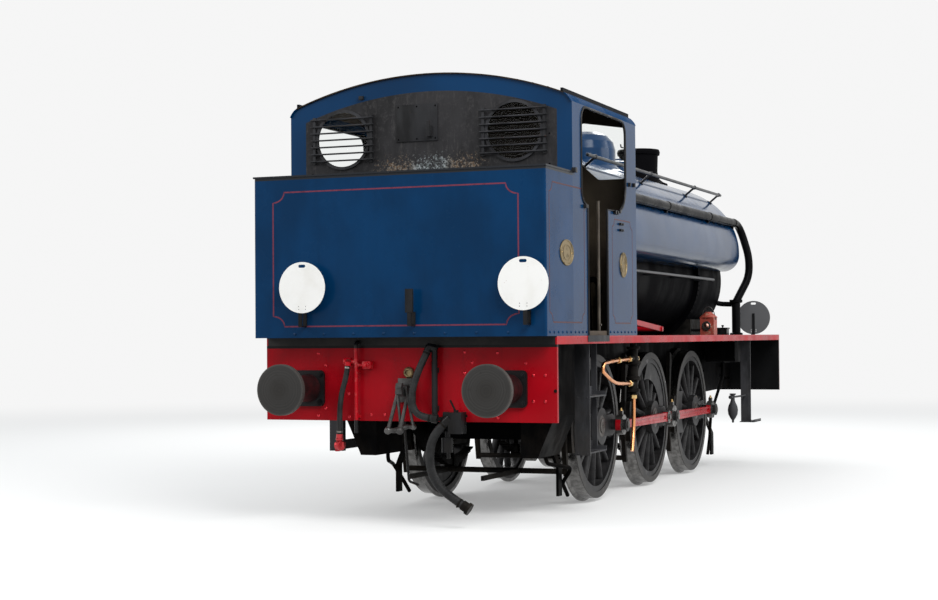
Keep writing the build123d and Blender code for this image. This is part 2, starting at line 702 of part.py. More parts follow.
hook_outline = Polygon(
    (-40, 28), (-40, -28), (0, -28), (60, -44), (110, -46), (160, -22), (176, 26), (160, 62), (128, 62),
    (132, 26), (112, 6), (78, 12), (60, 36), (30, 46), (0, 28), align=None)
hook = side_plate(hook_outline, -25, 25)
hook += Pos(-60, 0, 0) * Box(100, 50, 56)


def link(x, z_top, half, length, r):
    """Hanging U of round bar, with two eyes at its open top."""
    path = [(x, half, z_top), (x, half, z_top - length), (x, -half, z_top - length), (x, -half, z_top)]
    return rounded_pipe(path, r, half * 0.8)


hook += Pos(6, 0, 0) * Box(12, 150, 190) + bar_y(-62, 62, HOOK_PIN_X, -14, 20)
front_gear = hook + link(HOOK_PIN_X, -14, 52, 250, 17)
front_gear += Pos(HOOK_PIN_X, 0, -268) * Box(54, 86, 60)
front_gear += bar_z(-470, -250, HOOK_PIN_X, 0, 19)
front_gear += Pos(HOOK_PIN_X, 0, -470) * Box(54, 110, 60)
front_gear += link(HOOK_PIN_X, -470, 60, 130, 17)

rear_gear = Pos(-BEAM_X, 0, HOOK_Z) * Rot(0, 0, 180) * hook
for arms, r, ball_r in [(SHACKLE_ARMS, SHACKLE_R, 30), (END_LINK_ARMS, END_LINK_R, 24)]:
    for top_end, low_end in arms:
        rear_gear += round_link(top_end, low_end, r) + Pos(*low_end) * Sphere(ball_r)
    rear_gear += round_link(arms[0][1], arms[1][1], r + 4)
rear_gear += round_link(END_LINK_ARMS[0][0], END_LINK_ARMS[1][0], END_LINK_R)
screw_ends = [(Vector(*arms[0][1]) + Vector(*arms[1][1])) * 0.5 for arms in [SHACKLE_ARMS, END_LINK_ARMS]]
rear_gear += round_link(tuple(screw_ends[0]), tuple(screw_ends[1]), 19)
save(Compound([rear_gear, Pos(BEAM_X, 0, HOOK_Z) * front_gear]), "drawgear")

# Cab

def cab_side():
    """Left cab side sheet with its doorway and window."""
    outline = Pos((CAB_BACK_X + CAB_FRONT_X) / 2, (DECK_Z + EAVE_Z) / 2)
    outline *= Rectangle(CAB_FRONT_X - CAB_BACK_X, EAVE_Z - DECK_Z)
    return side_plate(outline - side_opening(), CAB_HALF - SHEET, CAB_HALF)


left_side, right_side = both_sides(cab_side())
save(left_side, "cab_side_left")
save(right_side, "cab_side_right")

back_windows = [Pos(y, SPECTACLE_Z) * Circle(SPECTACLE_R) for y in [-SPECTACLE_Y, SPECTACLE_Y]]
left_window = Polygon(*FRONT_WINDOW, align=None)
left_window = fillet(left_window.vertices(), FRONT_WINDOW_R)
front_windows = [mirror(left_window, about=Plane.YZ), left_window]
back_sheet = end_sheet_outline(DECK_Z)
for hole in back_windows:
    back_sheet -= hole
back_sheet -= Pos(0, 1900) * Rectangle(640, 560)
save(cross_plate(back_sheet, CAB_BACK_X, CAB_BACK_X + SHEET), "cab_back_sheet")
front_sheet = end_sheet_outline(DECK_Z) - firebox_section()
for hole in front_windows:
    front_sheet -= hole
save(cross_plate(front_sheet, CAB_FRONT_X - SHEET, CAB_FRONT_X), "cab_front_sheet")

strip_depth = 2 * RAIN_STRIP_WIDTH
rain_strip = Rectangle(RAIN_STRIP_WIDTH, strip_depth)
rain_strip = Pos(RAIN_STRIP_Y, RAIN_STRIP_TOP_Z - strip_depth / 2) * rain_strip
rain_strip -= roof_line(SHEET / 2)
roof_section = roof_line(0) - roof_line(SHEET)
roof_section += rain_strip + mirror(rain_strip, about=Plane.YZ)
save(cross_plate(roof_section, CAB_BACK_X - ROOF_OVERHANG, CAB_FRONT_X + ROOF_OVERHANG), "cab_roof")

floor_top = DECK_Z + CAB_FLOOR_THICKNESS
half = CAB_HALF - SHEET
cab_floor = box(CAB_BACK_X + SHEET, CAB_FRONT_X - SHEET, -half, half, DECK_Z, floor_top)
cab_floor -= box(-2570, CAB_FRONT_X, -610, 610, DECK_Z - 5, floor_top + 5)
save(cab_floor, "cab_floor")

bunker = box(BUNKER_BACK_X, CAB_BACK_X, -CAB_HALF, CAB_HALF, DECK_Z, BUNKER_TOP_Z)
bunker = fillet(bunker.edges().filter_by(Axis.Z).sort_by(Axis.X)[:2], 18)
bunker -= box(BUNKER_BACK_X + SHEET, CAB_BACK_X + 5, -half, half, DECK_Z + SHEET, BUNKER_TOP_Z + 5)
rim_top_z = BUNKER_TOP_Z + 14
rim_half = CAB_HALF - 18
bead = box(BUNKER_BACK_X - 6, CAB_BACK_X, -CAB_HALF - 6, CAB_HALF + 6, BUNKER_TOP_Z, rim_top_z)
bead -= box(BUNKER_BACK_X + 18, CAB_BACK_X + 5, -rim_half, rim_half, BUNKER_TOP_Z - 5, rim_top_z + 5)
save(bunker + bead, "bunker")


def window_frame(hole, x0, x1):
    """Frame round a window opening, lapping a little over its edge."""
    return cross_plate(offset(hole, WINDOW_FRAME_WIDTH) - offset(hole, -WINDOW_FRAME_LAP), x0, x1)


# Bars guard the round windows above the bunker
window_frames = []
glass = []
guard_reach = SPECTACLE_R + WINDOW_FRAME_WIDTH
for y, hole in zip([-SPECTACLE_Y, SPECTACLE_Y], back_windows):
    guarded = window_frame(hole, CAB_BACK_X - WINDOW_FRAME_DEPTH, CAB_BACK_X)
    for i in range(GUARD_BARS):
        z = SPECTACLE_Z + (i - (GUARD_BARS - 1) / 2) * GUARD_PITCH
        guarded += bar_y(y - guard_reach - 40, y + guard_reach + 40, CAB_BACK_X - 26, z, 7)
    for post_y in [y - guard_reach - 12, y + guard_reach + 12]:
        post = box(CAB_BACK_X - 20, CAB_BACK_X, post_y - 12, post_y + 12, -195, 195)
        guarded += Pos(0, 0, SPECTACLE_Z) * post
    window_frames.append(guarded)
    glass.append(cross_plate(hole, CAB_BACK_X + 1, CAB_BACK_X + 6))
for hole in front_windows:
    window_frames.append(window_frame(hole, CAB_FRONT_X, CAB_FRONT_X + WINDOW_FRAME_DEPTH))
    glass.append(cross_plate(hole, CAB_FRONT_X - 6, CAB_FRONT_X - 1))
save(Compound(window_frames), "spectacle_frames")
save(Compound(glass), "window_glass")

pole = bar_z(DECK_Z + CAB_FLOOR_THICKNESS, SILL_Z + 60, -2938, CAB_HALF - 30, 13)
pole += bar_y(CAB_HALF - 30, CAB_HALF - SHEET, -2938, DECK_Z + 90, 9)
rails = both_sides(pole)

# Boiler, firebox, smokebox and tank

save(bar_x(FIREBOX_FRONT_X, SMOKEBOX_REAR_X, 0, BOILER_Z, BOILER_R), "boiler")
firebox = cross_plate(firebox_section(), FIREBOX_REAR_X, FIREBOX_FRONT_X)

pan_front = box(-1500, -800, -520, 520, 520, 930)
pan_rear = box(-2480, -2010, -520, 520, 560, 930)
save(firebox + pan_front + pan_rear, "firebox")

drum = bar_x(SMOKEBOX_REAR_X, SMOKEBOX_FRONT_X, 0, BOILER_Z, SMOKEBOX_R)
drum -= bar_x(SMOKEBOX_REAR_X + 20, SMOKEBOX_FRONT_X - 18, 0, BOILER_Z, SMOKEBOX_R - 16)
drum -= bar_x(SMOKEBOX_FRONT_X - 30, SMOKEBOX_FRONT_X + 5, 0, BOILER_Z, DOOR_R - 50)
drum -= bar_z(BOILER_Z, BOILER_Z + 1000, CHIMNEY_X, 0, CHIMNEY_BORE_R)
for dz in [-250, 250]:
    for lug_z in [dz - 55, dz + 35]:
        drum += box(SMOKEBOX_FRONT_X, DOOR_HINGE_X + 18, DOOR_HINGE_Y - 18, DOOR_HINGE_Y + 18,
                    BOILER_Z + lug_z, BOILER_Z + lug_z + 20)
    drum += bar_z(BOILER_Z + dz - 55, BOILER_Z + dz + 55, DOOR_HINGE_X, DOOR_HINGE_Y, 13)
drum += bar_z(BOILER_Z - SMOKEBOX_R + 8, 2250, CHIMNEY_X, 0, 90)
save(drum, "smokebox")

door = Pos(DOOR_BACK_X, 0, BOILER_Z) * dished_front(DOOR_R, 30, 74)
for dz in [-250, 250]:
    strap = Pos(DOOR_BACK_X, 0, BOILER_Z) * dished_front(DOOR_R + 22, 44, 78)
    low_z, high_z = BOILER_Z + dz - 28, BOILER_Z + dz + 28
    strap &= box(DOOR_BACK_X, DOOR_BACK_X + 200, -470, 640, low_z, high_z)
    arm = box(DOOR_HINGE_X - 14, DOOR_HINGE_X + 14, 560, DOOR_HINGE_Y, low_z, high_z)
    knuckle = bar_z(low_z, high_z, DOOR_HINGE_X, DOOR_HINGE_Y, 27)
    door += strap + arm + knuckle
    door -= bar_z(BOILER_Z + dz - 60, BOILER_Z + dz + 60, DOOR_HINGE_X, DOOR_HINGE_Y, 13.5)
dart_x = DOOR_BACK_X + 100
door += bar_x(dart_x, dart_x + 70, 0, BOILER_Z, 32)
for angle, reach in [(25.0, 34.0), (205.0, 60.0)]:
    handle = Pos(0, 0, -120) * Cylinder(11, 240)
    door += Pos(dart_x + reach, 0, BOILER_Z) * Rot(angle, 0, 0) * handle
save(door, "smokebox_door")

tank = tank_body()
tank -= bar_z(TANK_BOTTOM_Z, TANK_TOP_Z + 50, CHIMNEY_X, 0, CHIMNEY_OUTER_R)
tank -= bar_z(TANK_TOP_Z - 420, TANK_TOP_Z + 50, FILLER_X, 0, FILLER_R)

solid_tank = tank_body()
base = Pos(CHIMNEY_X, 0, 0) * turned(CHIMNEY_ROWS) - solid_tank
stem = bar_z(2700, 3240, CHIMNEY_X, 0, CHIMNEY_OUTER_R) - bar_z(2600, 3300, CHIMNEY_X, 0, CHIMNEY_BORE_R)
stem -= bar_x(CHIMNEY_X - 300, CHIMNEY_X + 300, 0, BOILER_Z, SMOKEBOX_R)
save(base + stem, "chimney")
save(Pos(DOME_X, 0, 0) * turned(DOME_ROWS) - solid_tank, "dome")

valves = Pos(SAFETY_VALVE_X, 0, 3200) * Box(240, 460, 140) - solid_tank
column = turned([
    (0, 3260), (74, 3260), (74, 3285), (52, 3295), (52, 3420), (62, 3430), (62, 3475), (40, 3500),
    (14, 3505), (14, 3545), (0, 3545),
])
for y in [-120, 120]:
    valves += Pos(SAFETY_VALVE_X, y, 0) * column

whistle = turned([
    (0, 3180), (13, 3180), (13, 3400), (34, 3410), (34, 3430), (27, 3436), (27, 3520), (34, 3524),
    (10, 3545), (0, 3548),
])
save(Compound([valves, Pos(-1790, -330, 0) * whistle - solid_tank]), "safety_valves")

neck = turned([(FILLER_R, 3100), (FILLER_R + 16, 3100), (FILLER_R + 16, 3290), (FILLER_R + 26, 3296),
               (FILLER_R + 26, FILLER_TOP_Z), (FILLER_R, FILLER_TOP_Z)])
neck = Pos(FILLER_X, 0, 0) * neck - solid_tank
for y in [-52, 52]:
    neck += box(LID_HINGE_X - 16, LID_HINGE_X + 18, y - 9, y + 9, FILLER_TOP_Z - 44, LID_HINGE_Z + 14)
    neck += box(LID_HINGE_X, FILLER_X - FILLER_R - 4, y - 9, y + 9, FILLER_TOP_Z - 44, FILLER_TOP_Z - 4)
neck += bar_y(-61, 61, LID_HINGE_X, LID_HINGE_Z, 8)
save(tank + neck, "saddle_tank")

lid = turned([(0, 0), (FILLER_R + 34, 0), (FILLER_R + 34, 14), (FILLER_R, 26), (0, 34)])
lid = Pos(FILLER_X, 0, FILLER_TOP_Z + LID_GAP) * lid
lid += box(LID_HINGE_X, FILLER_X - FILLER_R, -40, 40, LID_HINGE_Z - 8, LID_HINGE_Z + 10)
lid += bar_y(-40, 40, LID_HINGE_X, LID_HINGE_Z, 18)
lid -= bar_y(-45, 45, LID_HINGE_X, LID_HINGE_Z, 8.5)
grip = [(FILLER_X + 150, -50, FILLER_TOP_Z + 20), (FILLER_X + 150, -50, FILLER_TOP_Z + 76),
        (FILLER_X + 150, 50, FILLER_TOP_Z + 76), (FILLER_X + 150, 50, FILLER_TOP_Z + 20)]
lid += rounded_pipe(grip, 8, 24)
save(lid, "tank_filler_lid")

# Footplate fittings on the backhead and the reversing lever

fittings = bar_x(FIREBOX_REAR_X - 40, FIREBOX_REAR_X, 0, 1860, 210)
fittings += box(FIREBOX_REAR_X - 60, FIREBOX_REAR_X - 40, -190, 190, 1730, 1990)
fittings += bar_x(FIREBOX_REAR_X - 130, FIREBOX_REAR_X, 0, 2480, 70)
fittings += Pos(FIREBOX_REAR_X - 110, 0, 2480) * Rot(50, 0, 0) * Box(24, 620, 36)
for y in [-330, 330]:
    fittings += bar_z(2180, 2560, FIREBOX_REAR_X - 60, y, 22)
    for z in [2200, 2540]:
        fittings += bar_x(FIREBOX_REAR_X - 60, FIREBOX_REAR_X, y, z, 18)
gauges = []
for y, z, r in [(-230, 2940, 90), (40, 2960, 75), (280, 2940, 75)]:
    gauges.append(bar_x(CAB_FRONT_X - SHEET - 60, CAB_FRONT_X - SHEET, y, z, r))
save(Compound([fittings] + gauges), "backhead_fittings")

lever = Polygon((-2260, 1501), (-2200, 1501), (-2290, 2330), (-2310, 2330), align=None)
lever = side_plate(lever, 905, 925)
lever += bar_z(2300, 2440, -2300, 915, 18)
quadrant = Pos(-2230, 1560) * (Circle(420) - Circle(370)) & Pos(-2250, 1900) * Rectangle(520, 300)
quadrant = side_plate(quadrant, 930, 946)
quadrant += box(-2370, -2340, 926, 950, 1501, 1960) + box(-2120, -2090, 926, 950, 1501, 1960)

# Reversing rod from the cab along the right side to the frame

reach = side_plate(
    Polygon((CAB_FRONT_X, 1663), (CAB_FRONT_X, 1613), (-250, 1497), (-250, 1547), align=None), -1018, -998)
reach += bar_y(-1030, -700, -290, 1524, 24)
reach += box(-330, -250, -740, -700, DECK_Z, 1560)
save(Compound([reach, Pos(0, -1830, 0) * lever, Pos(0, -1880, 0) * quadrant]), "reversing_gear")

# Steps

def cab_step():
    """Left cab steps: a hanger plate at the back, a narrow one in front and two treads between them."""
    sheet = 12
    y0, y1 = STEP_INNER_Y, STEP_OUTER_Y
    step = box(STEP_REAR_X - sheet, STEP_REAR_X, y0, y1, STEP_BOTTOM_Z, FRAME_TOP_Z)
    step += box(STEP_REAR_X, STEP_REAR_X + 40, y0, y0 + sheet, STEP_BOTTOM_Z, FRAME_TOP_Z)
    step += box(STEP_FRONT_X - sheet, STEP_FRONT_X, y0, y0 + 50, STEP_BOTTOM_Z, FRAME_TOP_Z)
    for z in STEP_TREADS_Z:
        step += box(STEP_REAR_X, STEP_FRONT_X, y0, y1, z - sheet, z)
        step += box(STEP_REAR_X, STEP_FRONT_X, y0, y0 + sheet, z, z + 70)
        step += box(STEP_FRONT_X - sheet, STEP_FRONT_X, y0, y1, z, z + 30)
    return step


def front_step():
    """Left front step: a flanged hanger with one tread that stands out past the deck."""
    step = box(2588, 2600, 1130, HALF_WIDTH - 12, 615, FRAME_TOP_Z)
    step += box(2600, 2660, 1130, 1142, 615, FRAME_TOP_Z)
    step += box(2480, 2760, 1130, 1300, 615, 625)
    return step


save(Compound(both_sides(cab_step())), "cab_steps")

# Injectors, their copper pipes and the sanding gear

def injector():
    """Left injector body: flanged casting hung from the deck."""
    body = turned([
        (0, 925), (34, 925), (34, 950), (58, 955), (58, 975), (40, 985), (40, 1050), (66, 1060), (66, 1085),
        (44, 1095), (44, 1190), (70, 1200), (70, 1225), (40, 1240), (40, 1330), (62, 1340), (62, 1362),
        (30, 1362), (30, FRAME_TOP_Z), (0, FRAME_TOP_Z),
    ])
    body = Pos(INJECTOR_X, INJECTOR_Y, 0) * body
    body += bar_x(INJECTOR_X - 110, INJECTOR_X + 90, INJECTOR_Y, 1250, 28)
    body += bar_x(INJECTOR_X - 90, INJECTOR_X + 10, INJECTOR_Y, 1030, 26)
    return body


save(Compound(both_sides(injector())), "injectors")

steam_pipe = rounded_pipe(
    [(INJECTOR_X - 110, INJECTOR_Y, 1250), (INJECTOR_X - 700, INJECTOR_Y, 1232),
     (INJECTOR_X - 760, INJECTOR_Y, 1200), (INJECTOR_X - 760, INJECTOR_Y + 10, 1160),
     (INJECTOR_X - 300, INJECTOR_Y, 1040), (INJECTOR_X - 90, INJECTOR_Y, 1030)], 15, 26)
overflow = rounded_pipe([(INJECTOR_X, INJECTOR_Y, 925), (INJECTOR_X, INJECTOR_Y, 700),
                         (INJECTOR_X - 60, INJECTOR_Y + 10, 430)], 15, 100)
steam_pipe -= injector()
save(Compound(both_sides(steam_pipe) + both_sides(overflow)), "copper_pipes")

front_sand = box(FRONT_SAND_X - 150, FRONT_SAND_X + 150, 700, 1040, 1150, FRAME_TOP_Z)
front_sand = fillet(front_sand.edges().filter_by(Axis.Y).sort_by(Axis.Z)[:2], 60)
front_sand += rounded_pipe(FRONT_SAND_PIPE, SAND_PIPE_R, 70)
rear_sand = cross_plate(Polygon(*REAR_SAND_ROWS, align=None), REAR_SAND_X0, REAR_SAND_X1)
rear_sand += rounded_pipe(REAR_SAND_PIPE, SAND_PIPE_R, 55)
save(Compound(both_sides(front_sand) + both_sides(rear_sand)), "sand_gear")

lubricator = turned([
    (0, 560), (12, 560), (16, 600), (52, 660), (56, 710), (30, 770), (22, 800), (22, 860), (34, 864),
    (34, 876), (0, 876),
])
left_step, right_step = both_sides(front_step())
right_step += Pos(2400, -1180, 0) * lubricator + box(2380, 2588, -1188, -1172, 862, 876)
save(Compound([left_step, right_step]), "front_steps")

# Handrails, ejector pipe and its post

rail_back, rail_front = -1780, 3240
rail = bar_x(rail_back, rail_front, TANK_RAIL_Y, TANK_RAIL_Z, TANK_RAIL_R)
for x in (rail_back, rail_front):
    rail += Pos(x, TANK_RAIL_Y, TANK_RAIL_Z) * Rot(0, 90, 0) * Sphere(TANK_RAIL_R)
foot = Vector(0, TANK_RAIL_FOOT_Y, TANK_RAIL_FOOT_Z)
lean = Vector(0, TANK_RAIL_Y, TANK_RAIL_Z) - foot
for x in TANK_RAIL_POSTS:
    rail += Plane(Vector(x, 0, 0) + foot + lean * 0.5, z_dir=lean) * Cylinder(12, lean.length)
    rail += Pos(x, TANK_RAIL_Y, TANK_RAIL_Z) * Rot(0, 90, 0) * Sphere(TANK_RAIL_R + 8)
rails += both_sides(rail - solid_tank)

side_rail = bar_x(-1880, 2280, SIDE_RAIL_Y, SIDE_RAIL_Z, 15)
for x in SIDE_RAIL_POSTS:
    side_rail += bar_y(BOILER_R - 1, SIDE_RAIL_Y, x, SIDE_RAIL_Z, 10)
side_rail -= bar_x(FIREBOX_FRONT_X, SMOKEBOX_REAR_X, 0, BOILER_Z, BOILER_R)
side_rail -= cross_plate(firebox_section(), -2000, FIREBOX_FRONT_X)
save(Compound(rails + both_sides(side_rail)), "handrails")

ejector = rounded_pipe(EJECTOR_ROUTE, EJECTOR_R, EJECTOR_BEND)
for x in EJECTOR_BRACKETS:
    ejector += box(x - 14, x + 14, EJECTOR_Y, EJECTOR_Y + 75, EJECTOR_Z - 70, EJECTOR_Z - 30)
ejector -= solid_tank

post = turned([
    (0, DECK_Z), (75, DECK_Z), (75, DECK_Z + 20), (50, DECK_Z + 30), (50, 1815), (75, 1820), (75, 1840),
    (0, 1840),
])
post = Pos(3390, -900, 0) * post
post += bar_y(-900, -690, 3390, 1760, 21)
save(ejector + post, "ejector_pipe")

# Lamp irons, discs and the hand lamp

irons = []
for y, z0 in [(790.0, 1547.0), (-155.0, 1547.0), (-1110.0, 1547.0)]:
    iron = box(BUNKER_BACK_X - 8, BUNKER_BACK_X, y - 16, y + 16, z0, z0 + 110)
    iron += box(BUNKER_BACK_X - 90, BUNKER_BACK_X - 8, y - 16, y + 16, z0, z0 + 10)
    iron += box(BUNKER_BACK_X - 90, BUNKER_BACK_X - 80, y - 16, y + 16, z0, z0 + 285)
    irons.append(iron)
for y in [950.0, 0.0, -950.0]:
    iron = box(BEAM_X - 90, BEAM_X - 20, y - 16, y + 16, DECK_Z, DECK_Z + 10)
    iron += box(BEAM_X - 30, BEAM_X - 20, y - 16, y + 16, DECK_Z, DECK_Z + 260)
    irons.append(iron)
save(Compound(irons), "lamp_irons")

disc = disc_with_slot()
discs = []
for y, z in REAR_DISCS:
    discs.append(Pos(BUNKER_BACK_X - 90 - DISC_THICKNESS / 2, y, z) * disc)
for y, z in FRONT_DISCS:
    discs.append(Pos(BEAM_X - 20 + DISC_THICKNESS / 2, y, z) * disc)
save(Compound(discs), "headcode_discs")

lamp_x, lamp_y = 1660.0, -1000.0
lamp = box(lamp_x - 75, lamp_x + 75, lamp_y - 75, lamp_y + 75, DECK_Z, DECK_Z + 190)
lamp += Pos(lamp_x, lamp_y, DECK_Z + 190 + 30) * Cone(100, 30, 60)
lamp += bar_x(lamp_x - 95, lamp_x - 75, lamp_y, DECK_Z + 100, 45)
save(lamp, "hand_lamp")

# Pipes and hoses on the back beam

pipe_x = -BEAM_X - 58
pipes = bar_z(838, 1372, VACUUM_X, VACUUM_Y, 24)
turn = behind(VACUUM_HOSE[0], VACUUM_HOSE[1], 34)
pipes += round_link((VACUUM_X, VACUUM_Y, 1372), turn, 30)
pipes += gland(VACUUM_HOSE[0], VACUUM_HOSE[1], 31, 34)
plug = behind(VACUUM_HOSE[-1], VACUUM_HOSE[-2], 44)
pipes += gland(VACUUM_HOSE[-1], VACUUM_HOSE[-2], 34, 44)
pipes += box(plug[0], -BEAM_X, plug[1] - 16, plug[1] + 16, plug[2] - 14, plug[2] + 14)
for z in [900, 1200]:
    pipes += box(VACUUM_X, -BEAM_X, VACUUM_Y - 14, VACUUM_Y + 14, z - 20, z + 20)
cock = box(-BEAM_X - 110, -BEAM_X, -504, -392, 706, 873)
cock += box(-BEAM_X - 44, -BEAM_X, -392, -322, 706, 873)
cock += round_link((-BEAM_X - 55, -440, 873), (-BEAM_X - 85, -406, 963), 8)
cock += bar_z(873, 890, -BEAM_X - 55, -440, 20)
cock += gland(HEATING_HOSE[0], HEATING_HOSE[1], 38, 60)
trap_x = -BEAM_X - 50
cock += bar_z(673, 720, trap_x, -366, 20) + bar_z(559, 673, trap_x, -362, 45)
cock += bar_z(510, 559, trap_x, -373, 14)
save(Compound([pipes, cock, rounded_pipe(DRIP_PIPE, DRIP_PIPE_R, 30)]), "beam_pipes")

air_elbow_z = BEAM_TOP_Z + 27
air_elbow = (pipe_x, AIR_PIPE_Y, air_elbow_z)
air = rounded_pipe([(-BEAM_X, AIR_PIPE_Y, air_elbow_z), air_elbow, (pipe_x, AIR_PIPE_Y, 700)], AIR_PIPE_R, 30)
air += bar_y(AIR_PIPE_Y, 470, pipe_x, 1268, AIR_PIPE_R) + bar_y(466, 520, pipe_x, 1268, 30)
air += round_link((pipe_x, 490, 1268), behind(AIR_HOSE[0], AIR_HOSE[1], 30), 24)
air += gland(AIR_HOSE[0], AIR_HOSE[1], 26, 30)
for z in [832, 1192]:
    air += box(pipe_x, -BEAM_X, AIR_PIPE_Y - 14, AIR_PIPE_Y + 14, z - 12, z + 12)
save(air, "air_pipe")

save(hose_tube("air hose", AIR_HOSE, AIR_HOSE_D), "air_hose")
save(hose_tube("vacuum hose", VACUUM_HOSE, VACUUM_HOSE_D), "vacuum_hose")
save(hose_tube("heating hose", HEATING_HOSE, HEATING_HOSE_D), "heating_hose")

head = gland(AIR_HOSE[-1], AIR_HOSE[-2], 27, 46)
low = behind(AIR_HOSE[-1], AIR_HOSE[-2], 46)
head += box(low[0] - 28, low[0] + 28, low[1] - 34, low[1] + 44, low[2] - 84, low[2] + 6)
save(head, "air_hose_head")
nozzle = gland(HEATING_HOSE[-1], HEATING_HOSE[-2], 40, 46)
tip = behind(HEATING_HOSE[-1], HEATING_HOSE[-2], 46)
nozzle += gland(tip, HEATING_HOSE[-1], 50, 26)
save(nozzle, "heating_hose_end")
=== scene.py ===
import json
from math import cos, pi, radians, sin, sqrt

import bmesh
import bpy
from bpy.props import FloatProperty, FloatVectorProperty, IntProperty, PointerProperty
from mathutils import Matrix, Vector

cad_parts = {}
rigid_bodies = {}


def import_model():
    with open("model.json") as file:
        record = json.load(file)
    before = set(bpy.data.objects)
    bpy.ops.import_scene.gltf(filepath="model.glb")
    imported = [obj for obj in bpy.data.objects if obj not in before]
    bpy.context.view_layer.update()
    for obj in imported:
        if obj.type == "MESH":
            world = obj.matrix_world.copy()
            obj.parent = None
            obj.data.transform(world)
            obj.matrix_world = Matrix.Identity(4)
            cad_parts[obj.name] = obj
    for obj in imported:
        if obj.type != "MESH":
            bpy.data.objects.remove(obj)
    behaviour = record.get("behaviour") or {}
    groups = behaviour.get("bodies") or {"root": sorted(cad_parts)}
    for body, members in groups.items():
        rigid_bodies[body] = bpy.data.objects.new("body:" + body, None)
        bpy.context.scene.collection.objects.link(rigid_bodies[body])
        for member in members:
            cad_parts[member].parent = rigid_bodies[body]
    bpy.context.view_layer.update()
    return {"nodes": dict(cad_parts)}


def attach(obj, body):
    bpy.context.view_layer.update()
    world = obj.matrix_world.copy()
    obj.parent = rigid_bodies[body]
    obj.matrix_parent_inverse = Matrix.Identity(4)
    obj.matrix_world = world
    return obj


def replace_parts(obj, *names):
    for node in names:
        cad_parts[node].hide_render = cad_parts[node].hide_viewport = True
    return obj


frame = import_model()
NODES = frame["nodes"]

bl_info = {
    "name": "Saddle Tank Locomotive",
    "version": (1, 0, 0),
    "blender": (4, 5, 0),
    "location": "View3D > Sidebar > Locomotive",
    "description": "Finishes and small fittings for a saddle tank steam locomotive",
    "category": "Object",
}

# Metres, +X to the chimney, +Y to the left side, +Z up, floor at the flange tips.
RAIL = 0.028
BEAM_X = 4.115
BUNKER_BACK = -4.33
CAB_BACK = -3.685
CAB_FRONT = -1.925
CAB_SIDE = 1.25
POLES_FRONT = -2.88
DECK = 1.461 + RAIL
DECK_HALF = 1.256
BUNKER_TOP = 2.75 + RAIL
FRONT_DISC_X = 4.09625  # just ahead of the front discs' backs
BUFFER_Y = 0.87
BUFFER_Z = 1.054 + RAIL
FRAME_Y = 0.651
ROOF_R = 3.307
ROOF_CENTRE_Z = 0.31 + RAIL
BOILER_Z = 2.1 + RAIL
SMOKEBOX_R = 0.735
TANK_HALF = 0.965
TANK_WAIST_Z = 2.42 + RAIL
TANK_RISE = 0.8
TANK_FRONT = 3.3
AXLE_Z = 0.6475 + RAIL
AXLES = {"rear": -1.753, "middle": 0.0, "front": 1.6}
CRANK = 0.3
TREAD_R = 0.642
BACK, FRONT, LEFT, UP = (-1, 0, 0), (1, 0, 0), (0, 1, 0), (0, 0, 1)
SIDES = (-1, 1)

# Hose routes, listed centreline points in metres
AIR_HOSE = [
    (-4.2, 0.48, 1.264), (-4.206, 0.492, 1.168), (-4.222, 0.52, 1.068), (-4.23, 0.535, 0.953),
    (-4.23, 0.54, 0.828), (-4.222, 0.545, 0.718),
]
VACUUM_HOSE = [
    (-4.196, -0.212, 1.38), (-4.212, -0.176, 1.296), (-4.236, -0.14, 1.2), (-4.25, -0.108, 1.094),
    (-4.252, -0.096, 0.99), (-4.246, -0.122, 0.904), (-4.236, -0.186, 0.864), (-4.228, -0.262, 0.854),
]
HEATING_HOSE = [
    (-4.205, -0.36, 0.816), (-4.218, -0.304, 0.762), (-4.23, -0.258, 0.678), (-4.238, -0.24, 0.568),
    (-4.238, -0.252, 0.443), (-4.234, -0.31, 0.333), (-4.23, -0.405, 0.253), (-4.224, -0.51, 0.188),
]

# Camera, found from the photograph: place, heading, tilt and roll
CAMERA_AT = (-16.5265, -5.5417, 1.4835)
CAMERA_YAW = radians(21.974)
CAMERA_PITCH = radians(1.249)
CAMERA_ROLL = radians(-0.4411)
CAMERA_LENS = 65.77


# Sizes and colours that a user may change

def number(name, text, default, **limits):
    return FloatProperty(name=name, description=text, default=default, **limits)


def tint(name, text, default):
    return FloatVectorProperty(name=name, description=text, default=default, subtype="COLOR")


class LocomotiveSizes(bpy.types.PropertyGroup):
    """Small fittings' sizes."""
    rivet: number("Rivet", "Radius of a rivet's head", 0.013, unit="LENGTH")
    small_rivet: number("Small rivet", "Radius of a rivet in thin sheet", 0.0075, unit="LENGTH")
    bolt: number("Bolt", "Half width of a bolt's head", 0.017, unit="LENGTH")
    lining: number("Lining", "Width of the painted lining", 0.011, unit="LENGTH")
    bead: number("Bead", "Radius of the bead round an opening", 0.011, unit="LENGTH")
    rivet_sides: IntProperty(name="Rivet sides", description="Sides of a rivet's head",
                             default=10, min=6, max=24)


class LocomotiveColours(bpy.types.PropertyGroup):
    """Paint and metal colours, linear."""
    body: tint("Body", "Blue of the tank, cab and bunker", (0.0014, 0.031, 0.094))
    beams: tint("Beams", "Red of the beams, edges and rods", (0.37, 0.0025, 0.0085))
    black: tint("Black", "Black of the frames and fittings", (0.0075, 0.0076, 0.0083))
    lining: tint("Lining", "Dull pink-red of the lining", (0.19, 0.04, 0.066))
    disc: tint("Discs", "Enamel of the discs", (0.93, 0.92, 0.89))
    copper: tint("Copper", "Bright copper pipe", (0.78, 0.34, 0.145))
    brass: tint("Brass", "Polished brass", (0.72, 0.5, 0.22))


